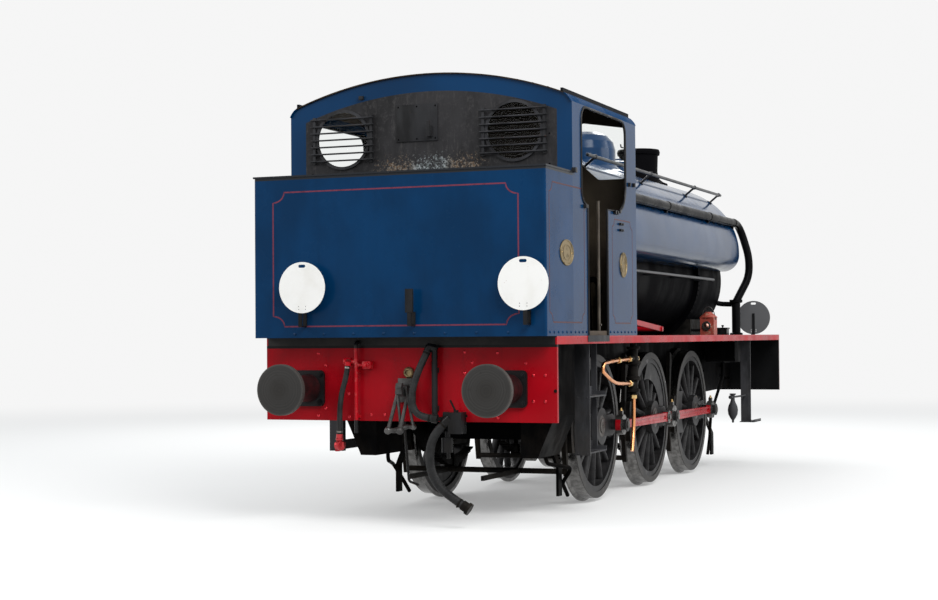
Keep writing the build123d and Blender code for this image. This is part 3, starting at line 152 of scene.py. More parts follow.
class StudioSettings(bpy.types.PropertyGroup):
    """Light and floor of the studio."""
    sky: number("Sky", "Strength of the soft light from all round", 0.7)
    key: number("Key", "Power of the large lamp above the locomotive", 960)
    floor: tint("Floor", "Floor colour", (0.62, 0.62, 0.61))
    glow: number("Floor glow", "White that the floor adds for the camera only", 0.28, min=0, max=1)
    backdrop: number("Backdrop", "White behind the locomotive, for the camera only", 0.92, min=0, max=1)


# Material recipes

class Recipe:
    """A material being mixed: short words for its nodes. tone is the colour so far."""

    def __init__(self, name):
        self.material = bpy.data.materials.new(name)
        self.material.use_nodes = True
        self.tree = self.material.node_tree
        self.tree.nodes.clear()
        out = self.add("ShaderNodeOutputMaterial")
        self.shader = self.add("ShaderNodeBsdfPrincipled")
        self.feed(out.inputs["Surface"], self.shader.outputs["BSDF"])
        self.place = self.add("ShaderNodeTexCoord").outputs["Object"]
        split = self.add("ShaderNodeSeparateXYZ")
        self.feed(split.inputs[0], self.place)
        self.x, self.y, self.z = split.outputs
        self.tone = None

    def add(self, kind, **settings):
        node = self.tree.nodes.new(kind)
        for key, value in settings.items():
            setattr(node, key, value)
        return node

    def feed(self, socket, value):
        if isinstance(value, bpy.types.NodeSocket):
            self.tree.links.new(value, socket)
        elif socket.type == "RGBA" and len(value) == 3:
            socket.default_value = (*value, 1)
        else:
            socket.default_value = value

    def sum(self, operation, a, b=0.0, c=0.0):
        node = self.add("ShaderNodeMath", operation=operation)
        for socket, value in zip(node.inputs, (a, b, c)):
            self.feed(socket, value)
        return node.outputs[0]

    def times(self, a, b):
        return self.sum("MULTIPLY", a, b)

    def less(self, a, b):
        return self.sum("SUBTRACT", a, b)

    def most(self, a, b):
        return self.sum("MAXIMUM", a, b)

    def aside(self, shift=0.0):
        """Distance from the middle plane, or from one that lies shift to the right of it."""
        return self.sum("ABSOLUTE", self.sum("ADD", self.y, shift) if shift else self.y)

    def reach(self, a, b):
        """Length of the vector (a, b)."""
        return self.sum("SQRT", self.sum("ADD", self.times(a, a), self.times(b, b)))

    def noise(self, scale, detail=3.0, rough=0.55, stretch=None, warp=0.0):
        """Noise on the object's own place. stretch scales its pattern on the three axes or on Z alone."""
        place = self.place
        if stretch:
            mapping = self.add("ShaderNodeMapping")
            self.feed(mapping.inputs["Vector"], place)
            mapping.inputs["Scale"].default_value = stretch if isinstance(stretch, tuple) else (1, 1, stretch)
            place = mapping.outputs[0]
        node = self.add("ShaderNodeTexNoise")
        values = {"Vector": place, "Scale": scale, "Detail": detail, "Roughness": rough, "Distortion": warp}
        for name, value in values.items():
            self.feed(node.inputs[name], value)
        return node.outputs[0]

    def fade(self, value, low, high, start=0.0, end=1.0):
        """Smooth step from start to end as value goes from low to high."""
        node = self.add("ShaderNodeMapRange", interpolation_type="SMOOTHSTEP")
        for socket, number_or_socket in zip(node.inputs, (value, low, high, start, end)):
            self.feed(socket, number_or_socket)
        return node.outputs[0]

    def span(self, value, start, end):
        """Turns a 0 to 1 pattern into start to end."""
        return self.fade(value, 0, 1, start, end)

    def cloud(self, scale, detail, rough, low, high, start=0.0, end=1.0, stretch=None):
        """Noise pressed into patches between low and high."""
        return self.fade(self.noise(scale, detail, rough, stretch), low, high, start, end)

    def band(self, value, low, high, edge=0.0006):
        """1 between low and high, 0 outside."""
        inner = self.fade(value, low - edge, low + edge)
        return self.times(inner, self.fade(value, high - edge, high + edge, 1, 0))

    def mix(self, share, a, b):
        """Colour a where share is 0 and colour b where it is 1."""
        node = self.add("ShaderNodeMix", data_type="RGBA")
        colour_a, colour_b = node.inputs[6:8]
        for socket, value in ((node.inputs["Factor"], share), (colour_a, a), (colour_b, b)):
            self.feed(socket, value)
        return node.outputs[2]

    def patches(self, dark, light, *cloud, **more):
        """Starts the tone as patches of two shades and returns their pattern."""
        cover = self.cloud(*cloud, **more)
        self.tone = self.mix(cover, dark, light)
        return cover

    def lay(self, cover, colour, share=None):
        """Lays a colour over the tone where cover is 1."""
        if share is not None:
            cover = self.times(cover, share)
        self.tone = self.mix(cover, self.tone, colour)

    def only(self, cover, other):
        """Keeps the tone where cover is 1 and has another colour elsewhere."""
        self.tone = self.mix(cover, other, self.tone)

    def bump(self, height, distance, strength, under=None):
        node = self.add("ShaderNodeBump")
        node.inputs["Strength"].default_value = strength
        node.inputs["Distance"].default_value = distance
        self.feed(node.inputs["Height"], height)
        if under:
            self.feed(node.inputs["Normal"], under)
        return node.outputs[0]

    def relief(self, distance, strength, *noise, under=None):
        return self.bump(self.noise(*noise), distance, strength, under)

    def finish(self, rough, skin=None, metal=0.0, specular=0.5, normal=None):
        """Closes the recipe. skin is a relief: distance, strength and noise."""
        put = self.shader.inputs
        self.feed(put["Base Color"], self.tone)
        self.feed(put["Roughness"], rough)
        self.feed(put["Metallic"], metal)
        put["Specular IOR Level"].default_value = specular
        if skin:
            normal = self.relief(*skin)
        if normal:
            self.feed(put["Normal"], normal)
        return self.material


SOOT = (0.007, 0.007, 0.0075)
ROAD_DUST = (0.075, 0.064, 0.052)
BRAKE_DUST = (0.055, 0.044, 0.034)


def colour_of(name):
    return tuple(getattr(bpy.context.scene.loco_colours, name))


def scaled(colour, factor):
    return tuple(min(1.0, channel * factor) for channel in colour)


def dulled(colour):
    return tuple(0.6 * channel + 0.016 for channel in colour)


def grime(pot, top, most, dust=ROAD_DUST):
    """Dust that thickens downwards from top, broken up by noise."""
    low = pot.fade(pot.z, 0.05, top, most, 0)
    pot.lay(pot.times(low, pot.cloud(5, 5, 0.65, 0.35, 0.72)), dust)


def mottle(pot, colour):
    """Starts the tone as brushed paint, a little darker and lighter in broad patches."""
    pot.patches(scaled(colour, 0.82), scaled(colour, 1.15), 1.6, 5, 0.6, 0.34, 0.66, stretch=0.7)


def varnish(pot, least, most, specular, wave=(0.0066, 0.5, 2.3, 1, 0.4), peel=0.0004):
    """Varnish on hand-flattened plate, its roughness between least and most."""
    shine = pot.cloud(3.2, 4, 0.6, 0.3, 0.75, least, most)
    normal = pot.relief(peel, 0.35, 95, 2, 0.5, under=pot.relief(*wave))
    return pot.finish(shine, specular=specular, normal=normal)


def coach_paint(name, colour, rough=0.2, specular=0.09, streak=0.12, dust_top=1.75):
    """Varnished paint, wiped in streaks, with some dust and specks."""
    pot = Recipe(name)
    colour = colour_of(colour)
    mottle(pot, colour)
    pot.lay(pot.cloud(7, 4, 0.6, 0.52, 0.8, stretch=0.1), dulled(colour), streak)
    grime(pot, dust_top, 0.3)
    pot.lay(pot.cloud(160, 2, 0.5, 0.735, 0.76), (0.05, 0.045, 0.04), 0.35)
    return varnish(pot, rough * 0.8, rough * 1.5, specular)


def bunker_paint():
    """The body's blue, with the rolled top edge rubbed to dark metal."""
    pot = Recipe("bunker_paint")
    blue = colour_of("body")
    mottle(pot, blue)
    pot.lay(pot.cloud(14, 4, 0.65, 0.5, 0.8, 0, 0.3, stretch=0.08), scaled(blue, 0.66))
    pot.lay(pot.cloud(34, 4, 0.7, 0.68, 0.76, 0, 0.3), (0.03, 0.045, 0.066))
    pot.lay(pot.fade(pot.z, BUNKER_TOP - 0.022, BUNKER_TOP - 0.019), (0.022, 0.024, 0.028))
    return varnish(pot, 0.16, 0.32, 0.09)


def oily_black(name, rough=0.42, lift=1.0, dusty=0.45, rust=0.1, specular=0.14):
    """Black paint under oil, soot and brake dust."""
    pot = Recipe(name)
    black = scaled(colour_of("black"), lift)
    oil = pot.patches(scaled(black, 0.6), scaled(black, 1.7), 4, 5, 0.6, 0.38, 0.62, stretch=0.35)
    grime(pot, 1.5, dusty, BRAKE_DUST)
    pot.lay(pot.cloud(23, 5, 0.7, 0.6, 0.74), (0.11, 0.045, 0.02), rust)
    shine = pot.mix(oil, (rough * 0.62,) * 3, (rough * 1.35,) * 3)
    return pot.finish(shine, (0.0009, 0.5, 60, 4, 0.6), specular=specular)


def smokebox_black():
    pot = Recipe("smokebox_black")
    # Near-black soot patches, darkened further as painted shade, as under the saddle tank over the boiler
    soot = pot.patches((0.0014, 0.0014, 0.0019), (0.004, 0.0039, 0.0046), 2.6, 5, 0.6, 0.35, 0.7, stretch=0.4)
    pot.lay(pot.cloud(11, 4, 0.65, 0.62, 0.78), (0.01, 0.008, 0.007), 0.25)
    return pot.finish(pot.span(soot, 0.42, 0.68), (0.0007, 0.5, 120, 3, 0.6), specular=0.012)


def cast_iron():
    pot = Recipe("cast_iron")
    rough = pot.patches((0.006, 0.0058, 0.0056), (0.02, 0.018, 0.016), 8, 5, 0.65, 0.35, 0.7)
    grime(pot, 1.3, 0.35, (0.06, 0.047, 0.035))
    return pot.finish(pot.span(rough, 0.34, 0.62), (0.001, 0.6, 210, 3, 0.7), specular=0.03)


def worn_steel(name, light, dark, rough, rust=0.25):
    """Handled or machined steel, brown where nothing rubs it."""
    pot = Recipe(name)
    wear = pot.patches(dark, light, 6, 5, 0.65, 0.36, 0.66)
    pot.lay(pot.cloud(14, 5, 0.7, 0.52, 0.74), (0.1, 0.045, 0.022), rust)
    return pot.finish(pot.span(wear, rough * 1.5, rough), (0.0003, 0.4, 90, 2, 0.5, 0.05),
                      metal=pot.span(wear, 0.55, 0.95))


def pipe_red():
    """Air pipe: red where it crosses the beam's red face, black above and below."""
    pot = Recipe("pipe_red")
    pot.patches(scaled(colour_of("beams"), 1.3), (0.5, 0.085, 0.085), 24, 4, 0.6, 0.5, 0.7)
    pot.only(pot.band(pot.z, 0.803 + RAIL, 1.375 + RAIL, 0.003), SOOT)
    return pot.finish(0.28, specular=0.22)


def reach_rod_red():
    """Reversing gear: red outside the cab, black inside it."""
    pot = Recipe("reach_rod_red")
    red = colour_of("beams")
    pot.patches(red, scaled(red, 0.6), 11, 4, 0.6, 0.45, 0.75)
    pot.only(pot.fade(pot.x, CAB_FRONT - 0.004, CAB_FRONT), (0.008, 0.008, 0.0085))
    return pot.finish(0.3, specular=0.2)


def handrail_steel():
    """Rails: dark oiled steel along the tank, rubbed paler on the doorway's poles."""
    pot = Recipe("handrail_steel")
    film = pot.patches((0.03, 0.031, 0.034), (0.05, 0.051, 0.055), 5, 3, 0.55, 0.35, 0.7)
    pale = pot.mix(film, (0.06, 0.05, 0.04), (0.115, 0.098, 0.078))
    pot.lay(pot.fade(pot.x, POLES_FRONT - 0.02, POLES_FRONT, 1, 0), pale)
    return pot.finish(pot.span(film, 0.3, 0.42), (0.0002, 0.3, 120, 2, 0.5), metal=0.6, specular=0.3)


def tyre_steel():
    """Tyre: dusty black sides, bright rolled tread and flange, the tread's steel darkened as painted shade.
    """
    pot = Recipe("tyre_steel")
    up = pot.less(pot.z, AXLE_Z)
    rear, middle, front = (pot.reach(pot.less(pot.x, x), up) for x in AXLES.values())
    radial = pot.sum("MINIMUM", pot.sum("MINIMUM", rear, middle), front)
    tread = pot.times(pot.fade(radial, TREAD_R - 0.0015, TREAD_R + 0.0015),
                      pot.fade(pot.aside(), 0.812, 0.8185, 1, 0))
    pot.patches((0.01, 0.0096, 0.0092), (0.034, 0.03, 0.027), 9, 5, 0.65, 0.35, 0.7)
    # The tread's steel is darkened here as painted shade, where the tread lies in deep shade under the
    # locomotive.
    bright = pot.mix(pot.cloud(20, 3, 0.55, 0.3, 0.7), (0.1, 0.097, 0.094), (0.21, 0.205, 0.2))
    pot.lay(tread, bright)
    return pot.finish(pot.mix(tread, (0.55,) * 3, (0.24,) * 3), (0.0006, 0.4, 140, 3, 0.6),
                      metal=pot.span(tread, 0.15, 1))


def wheel_black():
    """Wheel centres: black, with a pale skin of dust that road spray leaves on the spokes."""
    pot = Recipe("wheel_black")
    pot.patches((0.009, 0.009, 0.0096), (0.034, 0.033, 0.034), 13, 5, 0.65, 0.3, 0.72)
    oil = pot.cloud(5, 4, 0.6, 0.55, 0.7)
    pot.lay(oil, (0.01, 0.009, 0.008), 0.7)
    return pot.finish(pot.span(oil, 0.48, 0.26), (0.0008, 0.5, 110, 3, 0.6), specular=0.2)


def buffer_steel():
    """Buffer heads: greased grey faces rubbed in rings, dark at the middle."""
    pot = Recipe("buffer_steel")
    reach = pot.reach(pot.less(pot.aside(), BUFFER_Y), pot.less(pot.z, BUFFER_Z))
    wobble = pot.sum("MULTIPLY_ADD", pot.noise(9, 3, 0.6), 0.026, reach)
    rings = pot.add("ShaderNodeTexNoise", noise_dimensions="1D")
    for name, value in {"W": pot.times(wobble, 95), "Scale": 1, "Detail": 4}.items():
        pot.feed(rings.inputs[name], value)
    lines = pot.fade(rings.outputs[0], 0.36, 0.66)
    pot.tone = pot.mix(lines, (0.031, 0.0295, 0.028), (0.038, 0.036, 0.0338))
    pot.lay(pot.fade(reach, 0.03, 0.125, 0.55, 0), (0.02, 0.018, 0.016))
    pot.lay(pot.fade(reach, 0.186, 0.199), (0.066, 0.062, 0.057))
    pot.lay(pot.cloud(16, 5, 0.7, 0.55, 0.75), (0.019, 0.017, 0.015), 0.5)
    return pot.finish(pot.span(lines, 0.62, 0.46), metal=0.15, specular=0.2,
                      normal=pot.bump(rings.outputs[0], 0.00015, 0.25))


def buffer_barrel():
    pot = Recipe("buffer_barrel")
    pot.patches((0.009, 0.006, 0.006), (0.034, 0.007, 0.008), 10, 5, 0.65, 0.35, 0.68)
    flange = pot.fade(pot.sum("ABSOLUTE", pot.x), BEAM_X + 0.024, BEAM_X + 0.036)
    pot.only(flange, (0.008, 0.008, 0.0086))
    return pot.finish(0.42, (0.0007, 0.5, 80, 3, 0.6), specular=0.18)


def polished(name, colour, rough, tarnish, share):
    """Copper or brass: bright where it is wiped and brown in the corners."""
    pot = Recipe(name)
    pot.tone = colour_of(colour) if isinstance(colour, str) else colour
    dull = pot.cloud(12, 5, 0.65, 0.46, 0.72)
    pot.lay(dull, tarnish, share)
    return pot.finish(pot.span(dull, rough, rough * 2.2), (0.0003, 0.3, 150, 2, 0.5), metal=1)


def rubber():
    pot = Recipe("rubber")
    bloom = pot.patches((0.009, 0.009, 0.0096), (0.026, 0.026, 0.026), 14, 5, 0.6, 0.35, 0.7)
    return pot.finish(pot.span(bloom, 0.48, 0.68), (0.0006, 0.6, 260, 3, 0.6), specular=0.2)


def enamel():
    """White disc enamel with chipped and rusty spots. The front discs' backs are bare steel."""
    pot = Recipe("enamel")
    pot.patches(colour_of("disc"), (0.72, 0.69, 0.62), 5, 4, 0.6, 0.4, 0.75, 0, 0.35)
    pot.lay(pot.cloud(34, 3, 0.6, 0.735, 0.76), (0.35, 0.2, 0.12), 0.75)
    pot.lay(pot.band(pot.x, 1, FRONT_DISC_X, 0.00025), (0.16, 0.16, 0.165))
    return pot.finish(0.34, (0.0006, 0.4, 40, 3, 0.5), specular=0.4)


def lamp_paint():
    """Hand lamp's old red paint, scratched to tin."""
    pot = Recipe("lamp_paint")
    pot.patches((0.36, 0.055, 0.035), (0.42, 0.22, 0.15), 26, 5, 0.7, 0.52, 0.62)
    return pot.finish(0.45, (0.003, 0.5, 20, 3, 0.5), metal=0.2)


def boards():
    pot = Recipe("boards")
    board_width = 0.155
    grain = pot.noise(16, 5, 0.65, (0.12, 1, 1), 0.6)
    pot.tone = pot.mix(pot.fade(grain, 0.3, 0.72), (0.03, 0.021, 0.015), (0.085, 0.062, 0.043))
    seam = pot.band(pot.sum("FRACT", pot.times(pot.y, 1 / board_width)), 0, 0.035, 0.01)
    pot.lay(seam, (0.008, 0.006, 0.005))
    relief = pot.bump(pot.less(grain, pot.times(seam, 2)), 0.003, 0.5)
    return pot.finish(0.72, specular=0.25, normal=relief)


def clear_glass():
    """Window glass, sooted in patches."""
    pot = Recipe("clear_glass")
    pot.tone = (0.93, 0.95, 0.94)
    pot.shader.inputs["Transmission Weight"].default_value = 1
    pot.shader.inputs["IOR"].default_value = 1.15
    return pot.finish(pot.cloud(7, 4, 0.6, 0.45, 0.8, 0.02, 0.16))


def roof_reach(pot):
    """Distance from the axis of the roof's curve."""
    return pot.reach(pot.y, pot.less(pot.z, ROOF_CENTRE_Z))


def cab_sheet():
    """Cab sheets: blue outside, tan and sooty inside, with the black panel at the back."""
    pot = Recipe("cab_sheet")
    edge = 0.0015
    out_back = pot.fade(pot.x, CAB_BACK + edge, CAB_BACK + 2 * edge, 1, 0)
    out_front = pot.fade(pot.x, CAB_FRONT - 2 * edge, CAB_FRONT - edge)
    out_side = pot.fade(pot.aside(), CAB_SIDE - 2 * edge, CAB_SIDE - edge)
    outside = pot.most(out_side, pot.most(out_back, out_front))

    pot.patches((0.0115, 0.0112, 0.012), (0.031, 0.03, 0.032), 3.4, 6, 0.68, 0.32, 0.72, stretch=0.3)
    pot.lay(pot.cloud(30, 6, 0.75, 0.5, 0.68, 0, 0.7), (0.046, 0.044, 0.045))
    pot.lay(pot.cloud(26, 6, 0.75, 0.55, 0.72, 0, 0.65, stretch=0.16), (0.072, 0.068, 0.066))
    low = pot.fade(pot.z, BUNKER_TOP, BUNKER_TOP + 0.3, 1, 0)
    worn_zone = pot.times(low, pot.fade(pot.aside(0.02), 0.32, 0.62, 1, 0))
    flakes = pot.fade(pot.sum("ADD", pot.noise(46, 5, 0.8), pot.times(worn_zone, 0.2)), 0.62, 0.69)
    flakes = pot.times(flakes, pot.fade(worn_zone, 0.01, 0.28))
    rusty = pot.mix(pot.cloud(70, 2, 0.55, 0.42, 0.58), (0.12, 0.072, 0.038), (0.21, 0.185, 0.155))
    bare = pot.mix(pot.cloud(62, 2, 0.55, 0.42, 0.58), (0.13, 0.15, 0.15), (0.3, 0.33, 0.34))
    pot.lay(flakes, pot.mix(pot.fade(pot.aside(0.03), 0.1, 0.22, 1, 0), rusty, bare))
    soot = pot.tone

    blue = colour_of("body")
    pot.patches(scaled(blue, 0.82), scaled(blue, 1.16), 1.1, 2, 0.5, 0.3, 0.7)
    pot.lay(pot.cloud(7, 4, 0.6, 0.52, 0.8, stretch=0.1), dulled(blue), 0.12)
    under_arc = pot.fade(roof_reach(pot), ROOF_R - 0.1475, ROOF_R - 0.1455, 1, 0)
    panel = pot.times(pot.times(under_arc, pot.band(pot.y, -1.124, 1.108, 0.001)), out_back)
    pot.lay(panel, soot)
    paint_outside = pot.tone

    pot.patches((0.022, 0.017, 0.012), (0.06, 0.047, 0.032), 2.2, 5, 0.65, 0.3, 0.7)
    pot.lay(pot.fade(pot.z, 2.3, 3.3), (0.02, 0.016, 0.012), 0.75)
    pot.lay(outside, paint_outside)
    matt = pot.most(panel, pot.less(1, outside))
    height = pot.sum("MULTIPLY_ADD", flakes, 0.6, pot.times(pot.noise(2.3, 1, 0.4), 8))
    normal = pot.relief(0.0004, 0.35, 95, 2, 0.5, under=pot.bump(height, 0.0008, 0.5))
    return pot.finish(pot.span(matt, 0.21, 0.6), specular=0.14, normal=normal)


def cab_roof_paint():
    """Roof: sooty black above, tan and smoked below, blue at the shoulders."""
    pot = Recipe("cab_roof_paint")
    over = pot.most(pot.fade(roof_reach(pot), ROOF_R - 0.005, ROOF_R - 0.003),
                    pot.fade(pot.aside(), CAB_SIDE - 0.07, CAB_SIDE - 0.06))
    film = pot.patches((0.005, 0.0054, 0.0064), (0.014, 0.015, 0.018), 4.5, 5, 0.6, 0.35, 0.7)
    low = pot.fade(pot.z, 3.375 + RAIL, 3.4 + RAIL, 1, 0)
    pot.lay(pot.times(low, pot.fade(pot.aside(), 1.13, 1.14)), colour_of("body"))
    pot.only(over, pot.mix(film, (0.03, 0.021, 0.013), (0.085, 0.06, 0.038)))
    return pot.finish(pot.span(film, 0.42, 0.6), (0.001, 0.5, 50, 4, 0.6), specular=0.02)


def beam_paint():
    """Buffer beams: red on their outer faces and ends, black behind and along the top."""
    pot = Recipe("beam_paint")
    red = colour_of("beams")
    pot.patches(scaled(red, 0.84), scaled(red, 1.12), 1.7, 3, 0.55, 0.3, 0.7)
    pot.lay(pot.cloud(9, 5, 0.65, 0.56, 0.8, stretch=0.12), (0.12, 0.004, 0.008), 0.35)
    pot.lay(pot.cloud(3, 4, 0.6, 0.58, 0.78), (0.05, 0.008, 0.008), 0.3)
    outer = pot.most(pot.fade(pot.x, -BEAM_X + 0.028, -BEAM_X + 0.03, 1, 0),
                     pot.fade(pot.x, BEAM_X - 0.008, BEAM_X - 0.006))
    pot.only(pot.times(outer, pot.fade(pot.z, 1.374 + RAIL, 1.377 + RAIL, 1, 0)), SOOT)
    return varnish(pot, 0.25, 0.42, 0.12, (0.006, 0.5, 3, 1, 0.4), 0.0005)


def deck_paint():
    """Running plate: red on its outer edges, dark and trodden on top."""
    pot = Recipe("deck_paint")
    rim = pot.fade(pot.aside(), DECK_HALF - 0.0012, DECK_HALF - 0.0006)
    pot.patches(SOOT, (0.026, 0.024, 0.022), 3, 5, 0.65, 0.35, 0.68)
    pot.lay(rim, colour_of("beams"))
    return pot.finish(pot.span(rim, 0.55, 0.32), (0.0012, 0.5, 45, 4, 0.65), specular=0.2)


def rod_paint():
    """Coupling rods: red between bright, oily bosses and eyes."""
    pot = Recipe("rod_paint")
    right_bar, left_bar = (pot.fade(pot.sum("ABSOLUTE", pot.less(pot.z, z)), 0.046, 0.05)
                           for z in (AXLE_Z, AXLE_Z + CRANK))
    steel = pot.most(pot.fade(pot.aside(), 0.971, 0.973), pot.sum("MINIMUM", right_bar, left_bar))
    dirt = pot.cloud(9, 5, 0.65, 0.42, 0.72)
    pot.tone = colour_of("beams")
    pot.lay(dirt, (0.1, 0.012, 0.014), 0.35)
    pot.lay(steel, pot.mix(dirt, (0.13, 0.125, 0.12), (0.035, 0.03, 0.026)))
    return pot.finish(pot.span(dirt, 0.26, 0.44), (0.0004, 0.4, 120, 3, 0.6), metal=pot.times(steel, 0.7),
                      specular=0.4)


def lining_paint():
    pot = Recipe("lining_paint")
    pink = colour_of("lining")
    pot.patches(pink, scaled(pink, 0.55), 18, 5, 0.7, 0.45, 0.75)
    pot.lay(pot.fade(pot.aside(), CAB_SIDE - 0.01, CAB_SIDE - 0.005), scaled(pink, 0.3))
    return pot.finish(0.28, specular=0.1)


def background_rays(tree):
    """1 for rays that show the background: the camera's own, and those that metal or glass sends on."""
    rays = tree.nodes.new("ShaderNodeLightPath")
    either = rays.outputs["Is Camera Ray"]
    for name in ("Is Glossy Ray", "Is Transmission Ray"):
        most = tree.nodes.new("ShaderNodeMath")
        most.operation = "MAXIMUM"
        tree.links.new(either, most.inputs[0])
        tree.links.new(rays.outputs[name], most.inputs[1])
        either = most.outputs[0]
    return either


def floor_paint():
    """Pale floor that keeps the shadow and fades into the backdrop far away."""
    studio = bpy.context.scene.studio_settings
    pot = Recipe("studio_floor")
    seen = background_rays(pot.tree)
    reach = pot.reach(pot.x, pot.y)
    near_end, far_end = 7, 26
    shade = tuple(studio.floor)
    pale = pot.mix(pot.fade(reach, near_end, far_end, 1, 0), (0, 0, 0), shade)
    pot.tone = pot.mix(seen, scaled(shade, 0.5), pale)
    glow = pot.fade(reach, near_end, far_end, studio.glow, studio.backdrop)
    pot.shader.inputs["Emission Color"].default_value = (1, 1, 1, 1)
    pot.feed(pot.shader.inputs["Emission Strength"], pot.times(seen, glow))
    return pot.finish(0.9, specular=0)


PAINTS = {
    # paint: its recipe and what that is given
    "blue": (coach_paint, "blue_paint", "body"),
    "tank": (coach_paint, "tank_blue", "body", 0.15, 0.26),
    "red": (coach_paint, "red_paint", "beams", 0.3, 0.14, 0.25, 1.2),
    "bunker": (bunker_paint,),
    # name, roughness, lift of the colour, dust, rust, specular
    "black": (oily_black, "black_paint"),
    # frame: black darkened to 0.4 of the colour, painted shade under the running plate and between the wheels
    "frame": (oily_black, "frame_black", 0.48, 0.4, 0.22, 0.1, 0.01),
    "fitting": (oily_black, "fitting_black", 0.36, 1.25, 0.3, 0.12),
    "pipe": (oily_black, "pipe_black", 0.26, 0.4, 0.02, 0, 0.03),
    # step: black lifted paler, painted light that makes up for the shade under the running plate
    "step": (oily_black, "step_black", 0.5, 4.2, 0.35, 0.05),
    "spectacle": (oily_black, "spectacle_black", 0.5, 3.2, 0, 0.35),
    "cab_plate": (oily_black, "cab_plate_black", 0.5, 1.9, 0, 0.15),
    "sill": (oily_black, "sill_black", 0.5, 3, 0.8, 0.5, 0.1),
    # name, light shade, dark shade, roughness, rust
    "axle": (worn_steel, "axle_steel", (0.2, 0.19, 0.18), (0.045, 0.04, 0.036), 0.34),
    "handled": (worn_steel, "handled_steel", (0.36, 0.34, 0.32), (0.14, 0.125, 0.11), 0.28, 0.35),
    "link": (worn_steel, "link_steel", (0.1, 0.098, 0.096), (0.03, 0.028, 0.027), 0.38, 0.12),
    # name, colour, roughness, tarnish, share of tarnish
    "copper": (polished, "copper", "copper", 0.2, (0.3, 0.11, 0.05), 0.4),
    "brass": (polished, "brass", "brass", 0.26, (0.22, 0.14, 0.06), 0.5),
    "plate": (polished, "plate_brass", (0.23, 0.175, 0.092), 0.46, (0.06, 0.056, 0.046), 0.85),
    "pipe_red_low": (polished, "coupling_red", (0.44, 0.045, 0.05), 0.32, (0.24, 0.012, 0.016), 0.8),
    "rivet_red": (polished, "rivet_red", (0.46, 0.03, 0.04), 0.3, (0.3, 0.01, 0.016), 0),
    "lens": (polished, "lamp_lens", (0.62, 0.33, 0.26), 0.25, (0.45, 0.1, 0.07), 0),
    "pipe_red": (pipe_red,),
    "reach": (reach_rod_red,),
    "rail": (handrail_steel,),
    "smokebox": (smokebox_black,),
    "iron": (cast_iron,),
    "tyre": (tyre_steel,),
    "wheel": (wheel_black,),
    "buffer": (buffer_steel,),
    "barrel": (buffer_barrel,),
    "rubber": (rubber,),
    "enamel": (enamel,),
    "lamp": (lamp_paint,),
    "boards": (boards,),
    "glass": (clear_glass,),
    "cab": (cab_sheet,),
    "roof": (cab_roof_paint,),
    "beam": (beam_paint,),
    "deck": (deck_paint,),
    "rod": (rod_paint,),
    "lining": (lining_paint,),
}
MIXED = {}
NODE_PAINTS = {
    # paint: the CAD nodes that have it
    "tyre": "tyres_rear tyres_middle tyres_front",
    "wheel": "wheel_centres_rear wheel_centres_middle wheel_centres_front",
    "axle": "axle_rear axle_middle axle_front",
    "rod": "coupling_rod_left coupling_rod_right",
    "frame": "frame_plates frame_stretchers leaf_springs sand_gear",
    "iron": "axleboxes brake_gear cylinder_block injectors heating_hose_end",
    "beam": "buffer_beams",
    "deck": "running_plate",
    "red": "valances air_hose_head",
    "barrel": "buffer_housings",
    "buffer": "buffer_heads",
    "link": "drawgear",
    "cab": "cab_side_left cab_side_right cab_back_sheet cab_front_sheet",
    "roof": "cab_roof",
    "boards": "cab_floor",
    "bunker": "bunker",
    "spectacle": "spectacle_frames",
    "glass": "window_glass",
    "rail": "handrails",
    "smokebox": "boiler firebox smokebox smokebox_door chimney",
    "tank": "saddle_tank tank_filler_lid dome",
    "brass": "safety_valves backhead_fittings",
    "reach": "reversing_gear",
    "step": "cab_steps front_steps",
    "copper": "copper_pipes",
    "pipe": "ejector_pipe",
    "fitting": "lamp_irons beam_pipes",
    "enamel": "headcode_discs",
    "lamp": "hand_lamp",
    "pipe_red": "air_pipe",
    "rubber": "air_hose vacuum_hose heating_hose",
}


def paint(name):
    """The named material, mixed the first time that it is asked for."""
    if name not in MIXED:
        recipe, *given = PAINTS[name]
        MIXED[name] = recipe(*given)
    return MIXED[name]


# Mesh helpers

def piece(name, mesh_or_bm, finish, body="root", smooth=True):
    """Makes an object at the origin from a mesh or bmesh, paints it and lets it ride on a body."""
    if isinstance(mesh_or_bm, bmesh.types.BMesh):
        bmesh.ops.recalc_face_normals(mesh_or_bm, faces=mesh_or_bm.faces)
        mesh = bpy.data.meshes.new(name)
        mesh_or_bm.to_mesh(mesh)
        mesh_or_bm.free()
    else:
        mesh = mesh_or_bm
        mesh.name = name
    mesh.materials.clear()
    mesh.materials.append(paint(finish))
    if smooth:
        mesh.shade_smooth()
        mesh.set_sharp_from_angle(angle=radians(38))
    obj = bpy.data.objects.new(name, mesh)
    bpy.context.scene.collection.objects.link(obj)
    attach(obj, body)
    return obj


def built(*shapes):
    """Bmesh of several shapes, each given as its maker and what that takes."""
    bm = bmesh.new()
    for maker, *given in shapes:
        maker(bm, *given)
    return bm


def bridge(bm, near, far):
    """Faces between two rings of as many points."""
    n = len(near)
    for k in range(n):
        bm.faces.new((near[k], near[(k + 1) % n], far[(k + 1) % n], far[k]))


def tube(bm, path, radii, sides=12):
    """Round tube along points. radii is one radius or one for each point."""
    points = [Vector(p) for p in path]
    if not isinstance(radii, (list, tuple)):
        radii = [radii] * len(points)
    side = (points[1] - points[0]).orthogonal().normalized()
    rings = []
    for i, point in enumerate(points):
        ahead = (points[min(i + 1, len(points) - 1)] - points[max(i - 1, 0)]).normalized()
        side = (side - ahead * side.dot(ahead)).normalized()
        across = ahead.cross(side)
        angles = [2 * pi * k / sides for k in range(sides)]
        rings.append([bm.verts.new(point + (side * cos(a) + across * sin(a)) * radii[i]) for a in angles])
    for near, far in zip(rings, rings[1:]):
        bridge(bm, near, far)
    bm.faces.new(rings[0])
    bm.faces.new(rings[-1])


